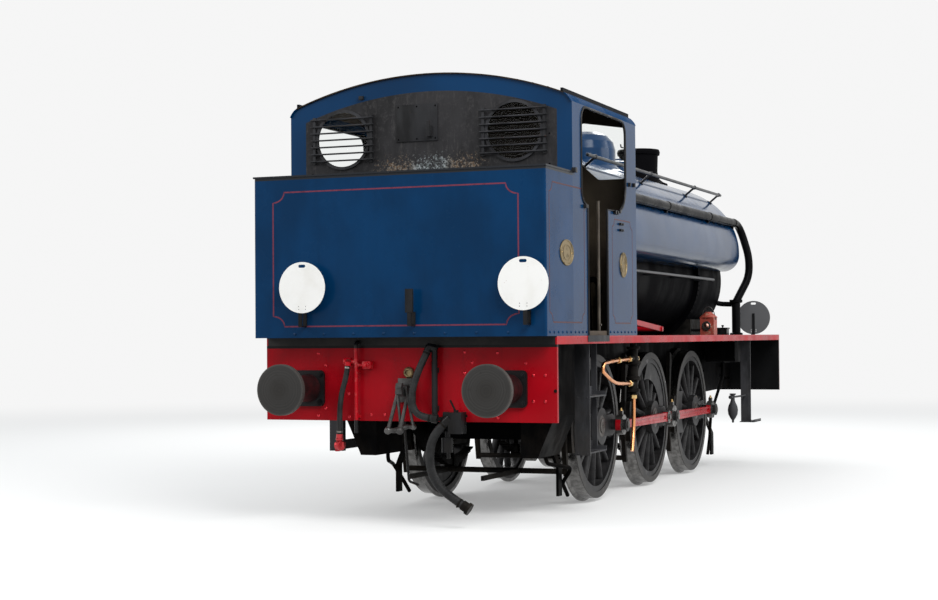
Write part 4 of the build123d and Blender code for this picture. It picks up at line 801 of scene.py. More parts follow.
def block(bm, low, high, chamfer):
    """Box between two corners, its edges broken by a small chamfer."""
    size = [abs(b - a) for a, b in zip(low, high)]
    middle = [(a + b) / 2 for a, b in zip(low, high)]
    made = bmesh.ops.create_cube(bm, size=1)["verts"]
    for vert in made:
        vert.co = Vector([m + c * s for m, c, s in zip(middle, vert.co, size)])
    edges = dict.fromkeys(edge for vert in made for edge in vert.link_edges)
    bmesh.ops.bevel(bm, geom=list(edges), offset=chamfer, segments=2, affect="EDGES", profile=0.7)


def lathe(bm, rows, place, sides=32):
    """Round body from (radius, height) rows, turned about Z and then placed."""
    angles = [2 * pi * k / sides for k in range(sides)]
    rings = []
    for r, h in rows:
        spots = [(r * cos(a), r * sin(a), h) for a in angles] if r > 1e-6 else [(0, 0, h)]
        rings.append([bm.verts.new(place @ Vector(spot)) for spot in spots])
    for near, far in zip(rings, rings[1:]):
        for k in range(sides):
            ends = [ring[j % len(ring)] for ring, j in ((near, k), (near, k + 1), (far, k + 1), (far, k))]
            corners = [v for i, v in enumerate(ends) if v not in ends[:i]]
            if len(corners) > 2:
                bm.faces.new(corners)
    for ring in (rings[0], rings[-1]):
        if len(ring) > 2:
            bm.faces.new(ring)


def facing(at, normal, roll=0.0):
    """Placement whose Z points along normal."""
    turn = Vector(normal).to_track_quat("Z", "Y").to_matrix().to_4x4()
    return Matrix.Translation(Vector(at)) @ turn @ Matrix.Rotation(roll, 4, "Z")


# Rivets and bolts by Geometry Nodes: one head on every point of a mesh, turned to its own facing

def fastener_tree(kind):
    """Node tree that sets a head of the given kind on each point. Inputs: Size, Sides and Finish."""
    tree = bpy.data.node_groups.new(f"{kind}_heads", "GeometryNodeTree")
    for name, data in {"Geometry": "Geometry", "Size": "Float", "Sides": "Int", "Finish": "Material"}.items():
        tree.interface.new_socket(name, in_out="INPUT", socket_type=f"NodeSocket{data}")
    tree.interface.new_socket("Geometry", in_out="OUTPUT", socket_type="NodeSocketGeometry")

    def node(node_kind, inputs, **settings):
        made = tree.nodes.new(node_kind)
        for key, value in settings.items():
            setattr(made, key, value)
        for key, value in inputs.items():
            if isinstance(value, bpy.types.NodeSocket):
                tree.links.new(value, made.inputs[key])
            else:
                made.inputs[key].default_value = value
        return made

    start = node("NodeGroupInput", {}).outputs

    def times(factor):
        return node("ShaderNodeMath", {0: start["Size"], 1: factor}, operation="MULTIPLY").outputs[0]

    if kind == "rivet":
        sizes = {"Segments": start["Sides"], "Rings": 5, "Radius": start["Size"]}
        ball = node("GeometryNodeMeshUVSphere", sizes)
        flat = {"Geometry": ball.outputs["Mesh"], "Scale": (1, 1, 0.62)}
        head = node("GeometryNodeTransform", flat).outputs[0]
    else:
        together = node("GeometryNodeJoinGeometry", {})
        # nut, washer and stud: sides, radius and depth
        for sides, radius, depth in ((6, 1.15, 1.5), (12, 1.5, 0.36), (8, 0.55, 2.6)):
            sizes = {"Vertices": sides, "Radius": times(radius), "Depth": times(depth)}
            part = node("GeometryNodeMeshCylinder", sizes)
            tree.links.new(part.outputs["Mesh"], together.inputs[0])
        head = together.outputs[0]
    aim = node("GeometryNodeInputNamedAttribute", {"Name": "facing"}, data_type="FLOAT_VECTOR")
    turn = node("FunctionNodeAlignRotationToVector", {"Vector": aim.outputs["Attribute"]}, axis="Z")
    spread = node("GeometryNodeInstanceOnPoints", {"Points": start["Geometry"], "Instance": head,
                                                   "Rotation": turn.outputs["Rotation"]})
    real = node("GeometryNodeRealizeInstances", {"Geometry": spread.outputs["Instances"]})
    coat = node("GeometryNodeSetMaterial", {"Geometry": real.outputs[0], "Material": start["Finish"]})
    node("NodeGroupOutput", {0: coat.outputs[0]})
    return tree


FASTENER_TREES = {}


def as_mesh(obj):
    """Plain mesh of an object's evaluated form. The object and its own data are removed."""
    scene = bpy.context.scene
    scene.collection.objects.link(obj)
    mesh = bpy.data.meshes.new_from_object(obj.evaluated_get(bpy.context.evaluated_depsgraph_get()))
    data = obj.data
    bpy.data.objects.remove(obj)
    bpy.data.batch_remove([data])
    return mesh


def fasteners(name, kind, heads, size, finish):
    """One mesh of heads. heads is a list of (point, facing)."""
    if kind not in FASTENER_TREES:
        FASTENER_TREES[kind] = fastener_tree(kind)
    tree = FASTENER_TREES[kind]
    points = bpy.data.meshes.new(f"{name}_points")
    points.from_pydata([tuple(at) for at, _ in heads], [], [])
    aim = points.attributes.new("facing", "FLOAT_VECTOR", "POINT")
    aim.data.foreach_set("vector", [c for _, way in heads for c in Vector(way).normalized()])
    host = bpy.data.objects.new(f"{name}_host", points)
    modifier = host.modifiers.new("heads", "NODES")
    modifier.node_group = tree
    values = {"Size": size, "Sides": bpy.context.scene.loco_sizes.rivet_sides, "Finish": paint(finish)}
    for item in tree.interface.items_tree:
        if item.item_type == "SOCKET" and item.in_out == "INPUT" and item.name in values:
            modifier[item.identifier] = values[item.name]
    return piece(name, as_mesh(host), finish)


def row(start, end, count, way):
    """Heads in a straight row."""
    a, b = Vector(start), Vector(end)
    return [(a.lerp(b, i / (count - 1)), way) for i in range(count)]


def both(heads):
    """Heads and their mirror images on the other side."""
    return heads + [(Vector((p[0], -p[1], p[2])), (w[0], -w[1], w[2])) for p, w in heads]


# Cords

def smooth_route(points):
    """Points along the NURBS line of a route, as Blender evaluates it."""
    curve = bpy.data.curves.new("route", "CURVE")
    curve.dimensions = "3D"
    curve.resolution_u = 24
    spline = curve.splines.new("NURBS")
    spline.points.add(len(points) - 1)
    for target, source in zip(spline.points, points):
        target.co = (*source, 1)
    spline.order_u = 3
    spline.use_endpoint_u = True
    line = as_mesh(bpy.data.objects.new("route_holder", curve))
    path = [vert.co.copy() for vert in line.vertices]
    bpy.data.meshes.remove(line)
    return path


def hose(name, route, diameter, rib_pitch, rib_depth):
    """Hose as a mesh tube along its route, with shallow ribs. Also returns its centreline and length."""
    path = smooth_route(route)
    spans = [(b - a).length for a, b in zip(path, path[1:])]
    total = sum(spans)
    count = max(40, int(total / (rib_pitch / 4)))
    fine, radii = [], []
    travelled, index = 0.0, 0
    for i in range(count + 1):
        target = total * i / count
        while index < len(spans) - 1 and travelled + spans[index] < target:
            travelled += spans[index]
            index += 1
        fine.append(path[index].lerp(path[index + 1], (target - travelled) / spans[index]))
        radii.append(diameter / 2 - rib_depth * (0.5 + 0.5 * cos(2 * pi * target / rib_pitch)))
    return piece(name, built((tube, fine, radii, 20)), "rubber"), fine, total


def air_coupling(fine):
    """Turned neck and round palm with its claw, at the lower end of the air hose."""
    end = fine[-1]
    down = (fine[-1] - fine[-3]).normalized()
    centre = end + down * 0.09
    neck = [(0, -0.004), (0.027, -0.004), (0.027, 0.026), (0.031, 0.03), (0.031, 0.044), (0.024, 0.05),
            (0.021, 0.062), (0.021, 0.084), (0, 0.084)]
    palm = [(0, -0.03), (0.034, -0.03), (0.04, -0.024), (0.04, 0.018), (0.034, 0.024), (0.026, 0.024),
            (0.022, 0.014), (0, 0.014)]
    shapes = [(lathe, neck, facing(end, down), 24), (lathe, palm, facing(centre, (0.45, 0.9, 0)), 24)]
    for low, high in (((-0.018, -0.046, -0.012), (0.018, -0.02, 0.03)),
                      ((-0.014, 0, -0.046), (0.014, 0.034, -0.02))):
        shapes.append((block, centre + Vector(low), centre + Vector(high), 0.006))
    head = piece("air_hose_coupling", built(*shapes), "pipe_red_low")
    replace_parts(head, "air_hose_head")
    return head


class LOCO_OT_hoses(bpy.types.Operator):
    """Brake and heating hoses at the back beam, with their clips and the air hose's coupling"""
    bl_idname = "loco.hoses"
    bl_label = "Hoses"

    def execute(self, context):
        # node, route, diameter, rib pitch, rib depth, far end, paint of the clips
        rows = [
            ("air_hose", AIR_HOSE, 0.044, 0.03, 0.0006, "connector", "handled"),
            ("vacuum_hose", VACUUM_HOSE, 0.058, 0.021, 0.0016, "object", "iron"),
            ("heating_hose", HEATING_HOSE, 0.07, 0.024, 0.0014, "connector", "iron"),
        ]
        knob_half = Vector((0.006, 0.006, 0.006))
        for node, route, diameter, pitch, depth, far_end, clip_paint in rows:
            obj, fine, total = hose(f"{node}_tube", route, diameter, pitch, depth)
            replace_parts(obj, node)
            shapes = []
            for at in (0.03, 0.97):
                i = int(at * (len(fine) - 1))
                ahead = (fine[i + 1] - fine[i - 1]).normalized()
                knob = fine[i] + ahead.orthogonal().normalized() * (diameter / 2 + 0.005)
                band = [fine[i] - ahead * 0.007, fine[i] + ahead * 0.007]
                shapes.append((tube, band, diameter / 2 + 0.0015, 20))
                shapes.append((block, knob - knob_half, knob + knob_half, 0.0015))
            if node == "air_hose":
                air_coupling(fine)
            piece(f"{node}_tube_clips", built(*shapes), clip_paint)
        return {"FINISHED"}


class LOCO_OT_finish_nodes(bpy.types.Operator):
    """Paints every CAD node"""
    bl_idname = "loco.finish_nodes"
    bl_label = "Node finishes"

    def execute(self, context):
        for finish, nodes in NODE_PAINTS.items():
            for node in nodes.split():
                materials = NODES[node].data.materials
                materials.clear()
                materials.append(paint(finish))
        return {"FINISHED"}


# Lining

def incurved_rectangle(a0, a1, b0, b1, notch_a, notch_b, steps=8):
    """Outline of a rectangle whose corners curve inwards, as (a, b) points."""
    points = []
    for a, b, start in ((a0, b0, 0.5), (a1, b0, 1), (a1, b1, 1.5), (a0, b1, 0)):
        for k in range(steps + 1):
            turn = (start - 0.5 * k / steps) * pi
            points.append((a + notch_a * cos(turn), b + notch_b * sin(turn)))
    return points


def ribbon(bm, outline, width, to_space, lift=0.0006):
    """Flat closed ribbon along an outline; to_space turns (a, b, height) into a point."""
    n = len(outline)
    rings = []
    for i in range(n):
        before, here, after = (Vector(outline[j % n]) for j in (i - 1, i, i + 1))
        tangent = (after - before).normalized()
        half = Vector((-tangent.y, tangent.x)) * width / 2
        corners = ((here - half, 0), (here - half, lift), (here + half, lift), (here + half, 0))
        rings.append([bm.verts.new(to_space(p.x, p.y, h)) for p, h in corners])
    for i in range(n):
        bridge(bm, rings[i], rings[(i + 1) % n])


class LOCO_OT_lining(bpy.types.Operator):
    """Painted lining on the bunker and cab"""
    bl_idname = "loco.lining"
    bl_label = "Lining"

    def execute(self, context):
        width = context.scene.loco_sizes.lining
        rear = incurved_rectangle(-1.028, 1.076, 1.552 + RAIL, 2.63 + RAIL, 0.1, 0.082)
        shapes = [(ribbon, rear, width, lambda a, b, h: Vector((BUNKER_BACK - h, a, b)))]
        for side in SIDES:
            # first X, last X, bottom, top, corner
            for x0, x1, z0, z1, corner in ((-4.253, -3.402, 1.567, 2.64, 0.075),
                                           (-2.64, -2.052, 1.567, 2.45, 0.065)):
                panel = incurved_rectangle(x0, x1, z0 + RAIL, z1 + RAIL, corner, corner)
                shapes.append((ribbon, panel, width,
                               lambda a, b, h, side=side: Vector((a, side * (CAB_SIDE + h), b))))
        piece("lining", built(*shapes), "lining", smooth=False)
        return {"FINISHED"}


# Rivets, bolts and nuts

FASTENER_GROUPS = {
    # group: kind, size property, factor, paint
    "bunker_bolts": ("rivet", "rivet", 0.9, "blue"),
    "beam_rivets": ("rivet", "rivet", 1, "rivet_red"),
    "flange_nuts": ("nut", "bolt", 1, "fitting"),
    "saddle_nuts": ("nut", "bolt", 0.8, "smokebox"),
    "smokebox_rivets": ("rivet", "rivet", 0.85, "smokebox"),
    "frame_nuts": ("nut", "bolt", 0.8, "frame"),
    "step_rivets": ("rivet", "small_rivet", 1.1, "step"),
    "roof_rivets": ("rivet", "small_rivet", 1, "roof"),
    "tank_rivets": ("rivet", "small_rivet", 1.1, "tank"),
    "valve_nuts": ("nut", "bolt", 0.6, "brass"),
    "beam_nuts": ("nut", "bolt", 0.55, "iron"),
}
BOLT_Z = 1.519
SADDLE_Y = 0.6225
VALVE_Y, VALVE_Z = 0.205, 3.298
STRAIGHT_ROWS = [
    # group, first head, last head, how many, facing, on both sides
    ("bunker_bolts", (BUNKER_BACK, -0.942, BOLT_Z), (BUNKER_BACK, 0.884, BOLT_Z), 8, BACK, False),
    ("bunker_bolts", (-4.25, CAB_SIDE, BOLT_Z), (-3.75, CAB_SIDE, BOLT_Z), 6, LEFT, True),
    ("bunker_bolts", (-3.64, CAB_SIDE, BOLT_Z), (-3.36, CAB_SIDE, BOLT_Z), 4, LEFT, True),
    ("bunker_bolts", (-2.71, CAB_SIDE, BOLT_Z), (-1.98, CAB_SIDE, BOLT_Z), 8, LEFT, True),
    ("saddle_nuts", (2.38, SADDLE_Y, 1.545), (3.21, SADDLE_Y, 1.545), 10, LEFT, True),
    ("frame_nuts", (-2.667, FRAME_Y, 0.98), (-2.667, FRAME_Y, 1.42), 5, LEFT, True),
    ("frame_nuts", (-3.432, FRAME_Y, 1.01), (-3.432, FRAME_Y, 1.44), 5, LEFT, True),
    ("frame_nuts", (3.572, FRAME_Y, 1.01), (3.572, FRAME_Y, 1.44), 5, LEFT, True),
    ("frame_nuts", (-4, FRAME_Y, 0.97), (-3.52, FRAME_Y, 0.97), 6, LEFT, True),
    ("frame_nuts", (3.64, FRAME_Y, 0.97), (4.02, FRAME_Y, 0.97), 5, LEFT, True),
    ("frame_nuts", (2.3, FRAME_Y, 1.08), (2.74, FRAME_Y, 1.08), 5, LEFT, True),
    ("frame_nuts", (2.3, FRAME_Y, 1.28), (2.74, FRAME_Y, 1.28), 5, LEFT, True),
    ("step_rivets", (-3.112, 1.085, 1.44), (-3.112, 1.165, 1.44), 3, BACK, True),
    ("step_rivets", (-3.112, 1.085, 0.982), (-3.112, 1.165, 0.982), 2, BACK, True),
    ("step_rivets", (-3.112, 1.085, 0.521), (-3.112, 1.165, 0.521), 2, BACK, True),
    ("step_rivets", (2.588, 1.155, 1.43), (2.588, 1.225, 1.43), 2, BACK, True),
    ("step_rivets", (2.588, 1.155, 0.7), (2.588, 1.225, 0.7), 2, BACK, True),
    ("valve_nuts", (-1.495, -VALVE_Y, VALVE_Z), (-1.495, VALVE_Y, VALVE_Z), 4, UP, False),
    ("valve_nuts", (-1.305, -VALVE_Y, VALVE_Z), (-1.305, VALVE_Y, VALVE_Z), 4, UP, False),
]
REAR_BEAM_HEADS = [
    # y, z as the photographed beam shows them
    (-0.494, 1.369), (-0.769, 1.362), (-0.557, 1.287), (-1.001, 1.28), (-1.063, 1.188), (-1.16, 1.188),
    (-1.061, 0.987), (-1.158, 0.987), (-0.493, 0.857), (-0.769, 0.859), (-0.492, 1.204), (0.782, 1.363),
    (0.718, 1.265), (0.511, 1.038), (0.72, 0.922), (0.785, 0.86), (0.509, 0.852), (0.449, 0.853),
    (0.316, 0.872), (0.196, 0.874), (1.061, 1.188), (1.16, 1.188), (1.061, 0.987), (1.158, 0.987),
]
FRONT_BEAM_HEADS = [
    # y, z on one side
    (0.494, 1.365), (0.494, 1.2), (0.494, 1.03), (0.494, 0.857), (0.769, 1.362), (0.769, 0.859),
    (0.718, 1.265), (1.061, 1.188), (1.16, 1.188), (1.061, 0.987), (1.16, 0.987),
]


def hoop(x, r, first, last, count, way=None):
    """Heads round the boiler's axis from one angle to another, in degrees from +Y."""
    heads = []
    for i in range(count):
        angle = radians(first + (last - first) * i / (count - 1))
        spoke = Vector((0, cos(angle), sin(angle)))
        heads.append((Vector((x, 0, BOILER_Z)) + spoke * r, way or spoke))
    return heads


def tank_top(y):
    """Height of the tank's top, by the distance from its middle."""
    return TANK_WAIST_Z + TANK_RISE * sqrt(max(0.0, 1.0 - (y / TANK_HALF) ** 2))


class LOCO_OT_fasteners(bpy.types.Operator):
    """Rivets, bolts and nuts of the beams, sheets, frames, smokebox, tank and roof"""
    bl_idname = "loco.fasteners"
    bl_label = "Rivets and bolts"

    def execute(self, context):
        groups = {name: [] for name in FASTENER_GROUPS}
        for group, first, last, count, way, mirrored in STRAIGHT_ROWS:
            heads = row(first, last, count, way)
            groups[group] += both(heads) if mirrored else heads
        groups["beam_rivets"] += [(Vector((-BEAM_X, y, z)), BACK) for y, z in REAR_BEAM_HEADS]
        groups["beam_rivets"] += both([(Vector((BEAM_X, y, z)), FRONT) for y, z in FRONT_BEAM_HEADS])
        groups["beam_nuts"] += [(Vector((-BEAM_X, y, z)), BACK) for y, z in ((-1.241, 1.067), (-0.501, 0.87))]
        flange = 0.112
        for way in (BACK, FRONT):
            for dy in (-flange, flange):
                for dz in (-flange, flange):
                    at = Vector((way[0] * (BEAM_X + 0.026), BUFFER_Y + dy, BUFFER_Z + dz))
                    groups["flange_nuts"] += both([(at, way)])
        for x in (2.318, 3.308):
            groups["smokebox_rivets"] += both(hoop(x, SMOKEBOX_R, -36, 2, 10))
        rim = hoop(3.34, 0.7, 4, 356, 45, FRONT)
        groups["smokebox_rivets"] += [(at, way) for at, way in rim
                                      if not (at.y > 0.6 and 0.15 < abs(at.z - BOILER_Z) < 0.34)]
        for x in (-3.655, -2.805, -1.955):
            for i in range(17):
                y = -1.04 + 0.13 * i
                spoke = Vector((0, y, sqrt(ROOF_R ** 2 - y * y)))
                groups["roof_rivets"].append((Vector((x, 0, ROOF_CENTRE_Z)) + spoke, spoke))
        for i in range(29):
            y = -0.868 + 0.062 * i
            groups["tank_rivets"].append((Vector((TANK_FRONT, y, tank_top(y) - 0.035)), FRONT))
        sizes = context.scene.loco_sizes
        for name, heads in groups.items():
            kind, size, factor, finish = FASTENER_GROUPS[name]
            fasteners(name, kind, heads, getattr(sizes, size) * factor, finish)
        return {"FINISHED"}


class LOCO_OT_wheel_fittings(bpy.types.Operator):
    """Crankpin nuts, axle end caps and the corks of the rods' oil cups"""
    bl_idname = "loco.wheel_fittings"
    bl_label = "Wheel fittings"

    def execute(self, context):
        nut = [(0, 0), (0.036, 0), (0.036, 0.01), (0.03, 0.013), (0, 0.013)]
        cap = [(0, 0), (0.062, 0), (0.062, 0.008), (0.05, 0.012), (0.016, 0.012), (0.012, 0.002), (0, 0.002)]
        cork = [(0, 0), (0.016, 0), (0.016, 0.01), (0.009, 0.012), (0.009, 0.026), (0, 0.028)]
        rods = {1: bmesh.new(), -1: bmesh.new()}
        for name, x in AXLES.items():
            bm = bmesh.new()
            cup = 0.142 if name == "middle" else 0.126
            # side, crankpin's place along and above the axle
            for side, pin_x, pin_z in ((1, 0, CRANK), (-1, CRANK, 0)):
                outwards = (0, side, 0)
                pin = Vector((x + pin_x, 0, AXLE_Z + pin_z))
                lathe(bm, nut, facing(pin + Vector((0, side * 1.016, 0)), outwards), 6)
                lathe(bm, cap, facing((x, side * 0.864, AXLE_Z), outwards), 20)
                lathe(rods[side], cork, Matrix.Translation(pin + Vector((0, side * 0.951, cup))), 12)
            piece(f"pin_nuts_{name}", bm, "axle", f"wheelset_{name}")
        piece("oil_cup_corks_left", rods[1], "brass", "rod_left")
        piece("oil_cup_corks_right", rods[-1], "brass", "rod_right")
        return {"FINISHED"}


# Cab openings, plates and irons

def rounded(points, steps=7):
    """Line through (a, b, corner radius) rows, its square corners turned as arcs."""
    line = []
    for i, (a, b, r) in enumerate(points):
        here = Vector((a, b))
        if not r:
            line.append(here)
            continue
        start = here + (Vector(points[i - 1][:2]) - here).normalized() * r
        end = here + (Vector(points[(i + 1) % len(points)][:2]) - here).normalized() * r
        for k in range(steps + 1):
            t = k / steps
            near, mid, far = (1 - t) ** 2, sqrt(2) * t * (1 - t), t * t
            line.append((start * near + here * mid + end * far) / (near + mid + far))
    return line


class LOCO_OT_cab_edges(bpy.types.Operator):
    """Beads round the cab's side openings, with the small catches beside them"""
    bl_idname = "loco.cab_edges"
    bl_label = "Cab edges"

    def execute(self, context):
        sill, top, foot = 2.52 + RAIL, 3.31 + RAIL, DECK + 0.002
        # x, z, corner radius of the opening, from the foot of the doorway's back edge round to its front one
        opening = rounded([
            (-3.31, foot, 0), (-3.31, sill, 0), (-3.465, sill, 0.12), (-3.465, top, 0.12),
            (-2.245, top, 0.12), (-2.245, sill, 0.23), (-2.78, sill, 0), (-2.78, foot, 0),
        ])
        # x, z, length, height, how far it stands out
        catch_rows = [
            (-2.15, 2.805, 0.034, 0.034, 0.022), (-2.012, 2.811, 0.034, 0.034, 0.022),
            (-3.387, 2.532, 0.06, 0.03, 0.026), (-2.59, 2.536, 0.03, 0.03, 0.024),
            (-2.526, 2.534, 0.03, 0.03, 0.024), (-2.462, 2.548, 0.03, 0.03, 0.024),
            (-2.425, 2.445, 0.024, 0.02, 0.02), (-2.365, 2.445, 0.024, 0.02, 0.02),
            (-2.425, 2.393, 0.024, 0.02, 0.02), (-2.365, 2.393, 0.024, 0.02, 0.02),
            (-3.672, 2.8, 0.05, 0.04, 0.03),
        ]
        beads, catches = [], []
        for side in SIDES:
            line = [(p.x, side * CAB_SIDE, p.y) for p in opening]
            beads.append((tube, line, context.scene.loco_sizes.bead, 8))
            for x, z, length, height, out in catch_rows:
                catches.append((block, (x - length / 2, side * (CAB_SIDE - 0.004), z - height / 2),
                                (x + length / 2, side * (CAB_SIDE + out), z + height / 2), 0.004))
            hook = [(-2.247, side * 1.246, 3.118), (-2.29, side * 1.24, 3.116), (-2.33, side * 1.24, 3.118),
                    (-2.338, side * 1.24, 3.14)]
            catches.append((tube, hook, 0.006, 8))
        piece("opening_beads", built(*beads), "black")
        piece("side_catches", built(*catches), "fitting")
        return {"FINISHED"}


class LOCO_OT_plates(bpy.types.Operator):
    """Blank brass plates on the bunker and the cab"""
    bl_idname = "loco.plates"
    bl_label = "Brass plates"

    def execute(self, context):
        plates, screws = [], []
        rim = [(1, 0), (1, 0.007), (0.975, 0.01), (0.905, 0.01), (0.88, 0.005), (0, 0.005)]
        inner = [(0.6, 0.0045), (0.6, 0.008), (0.56, 0.008), (0.56, 0.0045)]
        # x, z, half length, half height
        for x, z, half_long, half_high in ((-3.853, 2.14, 0.16, 0.102), (-2.335, 2.097, 0.1, 0.108)):
            for side in SIDES:
                stretch = Matrix.Diagonal((half_long, half_high, 1, 1))
                place = facing((x, side * CAB_SIDE, z), (0, side, 0)) @ stretch
                plates += [(lathe, rim, place, 40), (lathe, inner, place, 40)]
                for way in (-0.74, 0.74):
                    screws.append((Vector((x + way * half_long, side * (CAB_SIDE + 0.005), z)), (0, side, 0)))
        piece("brass_plates", built(*plates), "plate")
        fasteners("plate_screws", "rivet", screws, context.scene.loco_sizes.small_rivet * 0.8, "brass")
        return {"FINISHED"}


class LOCO_OT_cab_back(bpy.types.Operator):
    """Plate and brackets on the cab's back, and the boss, cock and brackets on the beam and bunker"""
    bl_idname = "loco.cab_back"
    bl_label = "Cab back fittings"

    def execute(self, context):
        out = CAB_BACK - 0.01
        piece("cab_back_plate", built((block, (out, -0.098, 3.092), (CAB_BACK + 0.001, 0.269, 3.398), 0.003)),
              "cab_plate")
        heads = [(Vector((out, y, z)), BACK) for y in (-0.08, 0.0855, 0.251) for z in (3.112, 3.378)]
        heads += [(Vector((CAB_BACK, y, z)), BACK) for z in (2.86, 3.1) for y in (-1.06, 1.045)]
        fasteners("cab_back_screws", "rivet", heads, context.scene.loco_sizes.small_rivet, "smokebox")
        # low corner, high corner
        brackets = [
            ((CAB_BACK - 0.062, -0.054, 3.12), (CAB_BACK - 0.009, -0.02, 3.134)),
            ((CAB_BACK - 0.07, -0.054, 3.12), (CAB_BACK - 0.06, -0.02, 3.25)),
            ((CAB_BACK - 0.018, -0.054, 3.134), (CAB_BACK - 0.009, -0.02, 3.215)),
            ((CAB_BACK - 0.026, 0.565, 3.462), (CAB_BACK - 0.001, 0.605, 3.492)),
            ((BUNKER_BACK - 0.094, -0.1875, 1.678), (BUNKER_BACK - 0.076, -0.1225, 1.863)),
            ((-BEAM_X - 0.03, 0.292, 1.242), (-BEAM_X - 0.0005, 0.362, 1.294)),
        ]
        piece("back_irons", built(*[(block, low, high, 0.003) for low, high in brackets]), "fitting")
        cup = [(0, 0), (0.046, 0), (0.046, 0.01), (0.04, 0.022), (0.032, 0.03), (0.024, 0.03), (0.02, 0.016),
               (0, 0.014)]
        piece("beam_boss", built((lathe, cup, facing((-BEAM_X, -0.019, 1.208), BACK), 24)), "plate")
        spindle = [(0, 0), (0.026, 0), (0.026, 0.012), (0.016, 0.018), (0.016, 0.034), (0, 0.038)]
        cock = built(
            (block, (-BEAM_X - 0.064, 0.288, 1.238), (-BEAM_X + 0.001, 0.366, 1.3), 0.012),
            (lathe, spindle, facing((-BEAM_X - 0.062, 0.327, 1.269), BACK), 16),
            (tube, [(-BEAM_X - 0.034, 0.36, 1.269), (-BEAM_X - 0.05, 0.424, 1.269)], 0.012, 12))
        piece("beam_cock", cock, "pipe_red")
        return {"FINISHED"}


# Fittings along the boiler and the deck

class LOCO_OT_tank_fittings(bpy.types.Operator):
    """Strips along the feet of the tank's rails and pads round the posts"""
    bl_idname = "loco.tank_fittings"
    bl_label = "Tank fittings"

    def execute(self, context):
        y = 0.648
        z = tank_top(y)
        slope = TANK_RISE * y / (TANK_HALF ** 2 * sqrt(1 - (y / TANK_HALF) ** 2))
        pad = [(0, -0.01), (0.034, -0.01), (0.034, 0.008), (0.022, 0.013), (0, 0.013)]
        strips, feet = [], []
        for side in SIDES:
            upright = Vector((0, side * slope, 1)).normalized()
            strips.append((tube, [(x, side * y, z + 0.001) for x in (-1.9, 0, 1.8, 3.27)], 0.01, 8))
            feet += [(lathe, pad, facing((x, side * y, z), upright), 20) for x in (-1.56, 0.282, 2.037, 3.15)]
        piece("tank_strips", built(*strips), "tank")
        piece("rail_post_feet", built(*feet), "fitting")
        return {"FINISHED"}


class LOCO_OT_deck_fittings(bpy.types.Operator):
    """Lidded box on the deck, and the hand lamp's lens and handle"""
    bl_idname = "loco.deck_fittings"
    bl_label = "Deck fittings"

    def execute(self, context):
        knob = [(0, 0), (0.01, 0), (0.007, 0.01), (0.016, 0.018), (0.014, 0.028), (0, 0.031)]
        box = built(
            (block, (2.24, -1.06, DECK), (2.36, -0.94, DECK + 0.066), 0.006),
            (block, (2.233, -1.067, DECK + 0.066), (2.367, -0.933, DECK + 0.082), 0.005),
            (block, (2.366, -1.02, DECK + 0.05), (2.376, -0.98, DECK + 0.08), 0.002),
            (lathe, knob, Matrix.Translation((2.3, -1, DECK + 0.081)), 16))
        piece("oil_box", box, "fitting")

        lamp_x, lamp_y, lens_z = 1.66, -1.0, DECK + 0.1
        rim = [(0.03, 0), (0.047, 0), (0.049, 0.006), (0.045, 0.012), (0.034, 0.012), (0.03, 0.004)]
        arc = [pi * k / 14 for k in range(15)]
        handle = [(lamp_x, lamp_y + 0.07 * cos(a), DECK + 0.185 + 0.12 * sin(a)) for a in arc]
        lugs = [(block, (lamp_x - 0.012, lamp_y + side * 0.066, DECK + 0.165),
                 (lamp_x + 0.012, lamp_y + side * 0.08, DECK + 0.192), 0.002) for side in SIDES]
        trim = built((lathe, rim, facing((lamp_x - 0.094, lamp_y, lens_z), BACK), 28),
                     (tube, handle, 0.0045, 8), *lugs)
        piece("lamp_trim", trim, "link")
        lens = [(0.032, 0), (0.03, 0.006), (0.022, 0.012), (0.01, 0.0155), (0, 0.016)]
        piece("lamp_lens", built((lathe, lens, facing((lamp_x - 0.095, lamp_y, lens_z), BACK), 28)), "lens")
        return {"FINISHED"}


def bent(points, reach, steps=8):
    """Points of a pipe whose corners are rounded, from reach before each corner to reach after it."""
    spots = [Vector(p) for p in points]
    path = [spots[0]]
    for before, corner, after, near in zip(spots, spots[1:], spots[2:], reach):
        start = corner + (before - corner).normalized() * near
        end = corner + (after - corner).normalized() * near
        for k in range(steps + 1):
            t = k / steps
            path.append(start.lerp(corner, t).lerp(corner.lerp(end, t), t))
    path.append(spots[-1])
    return path


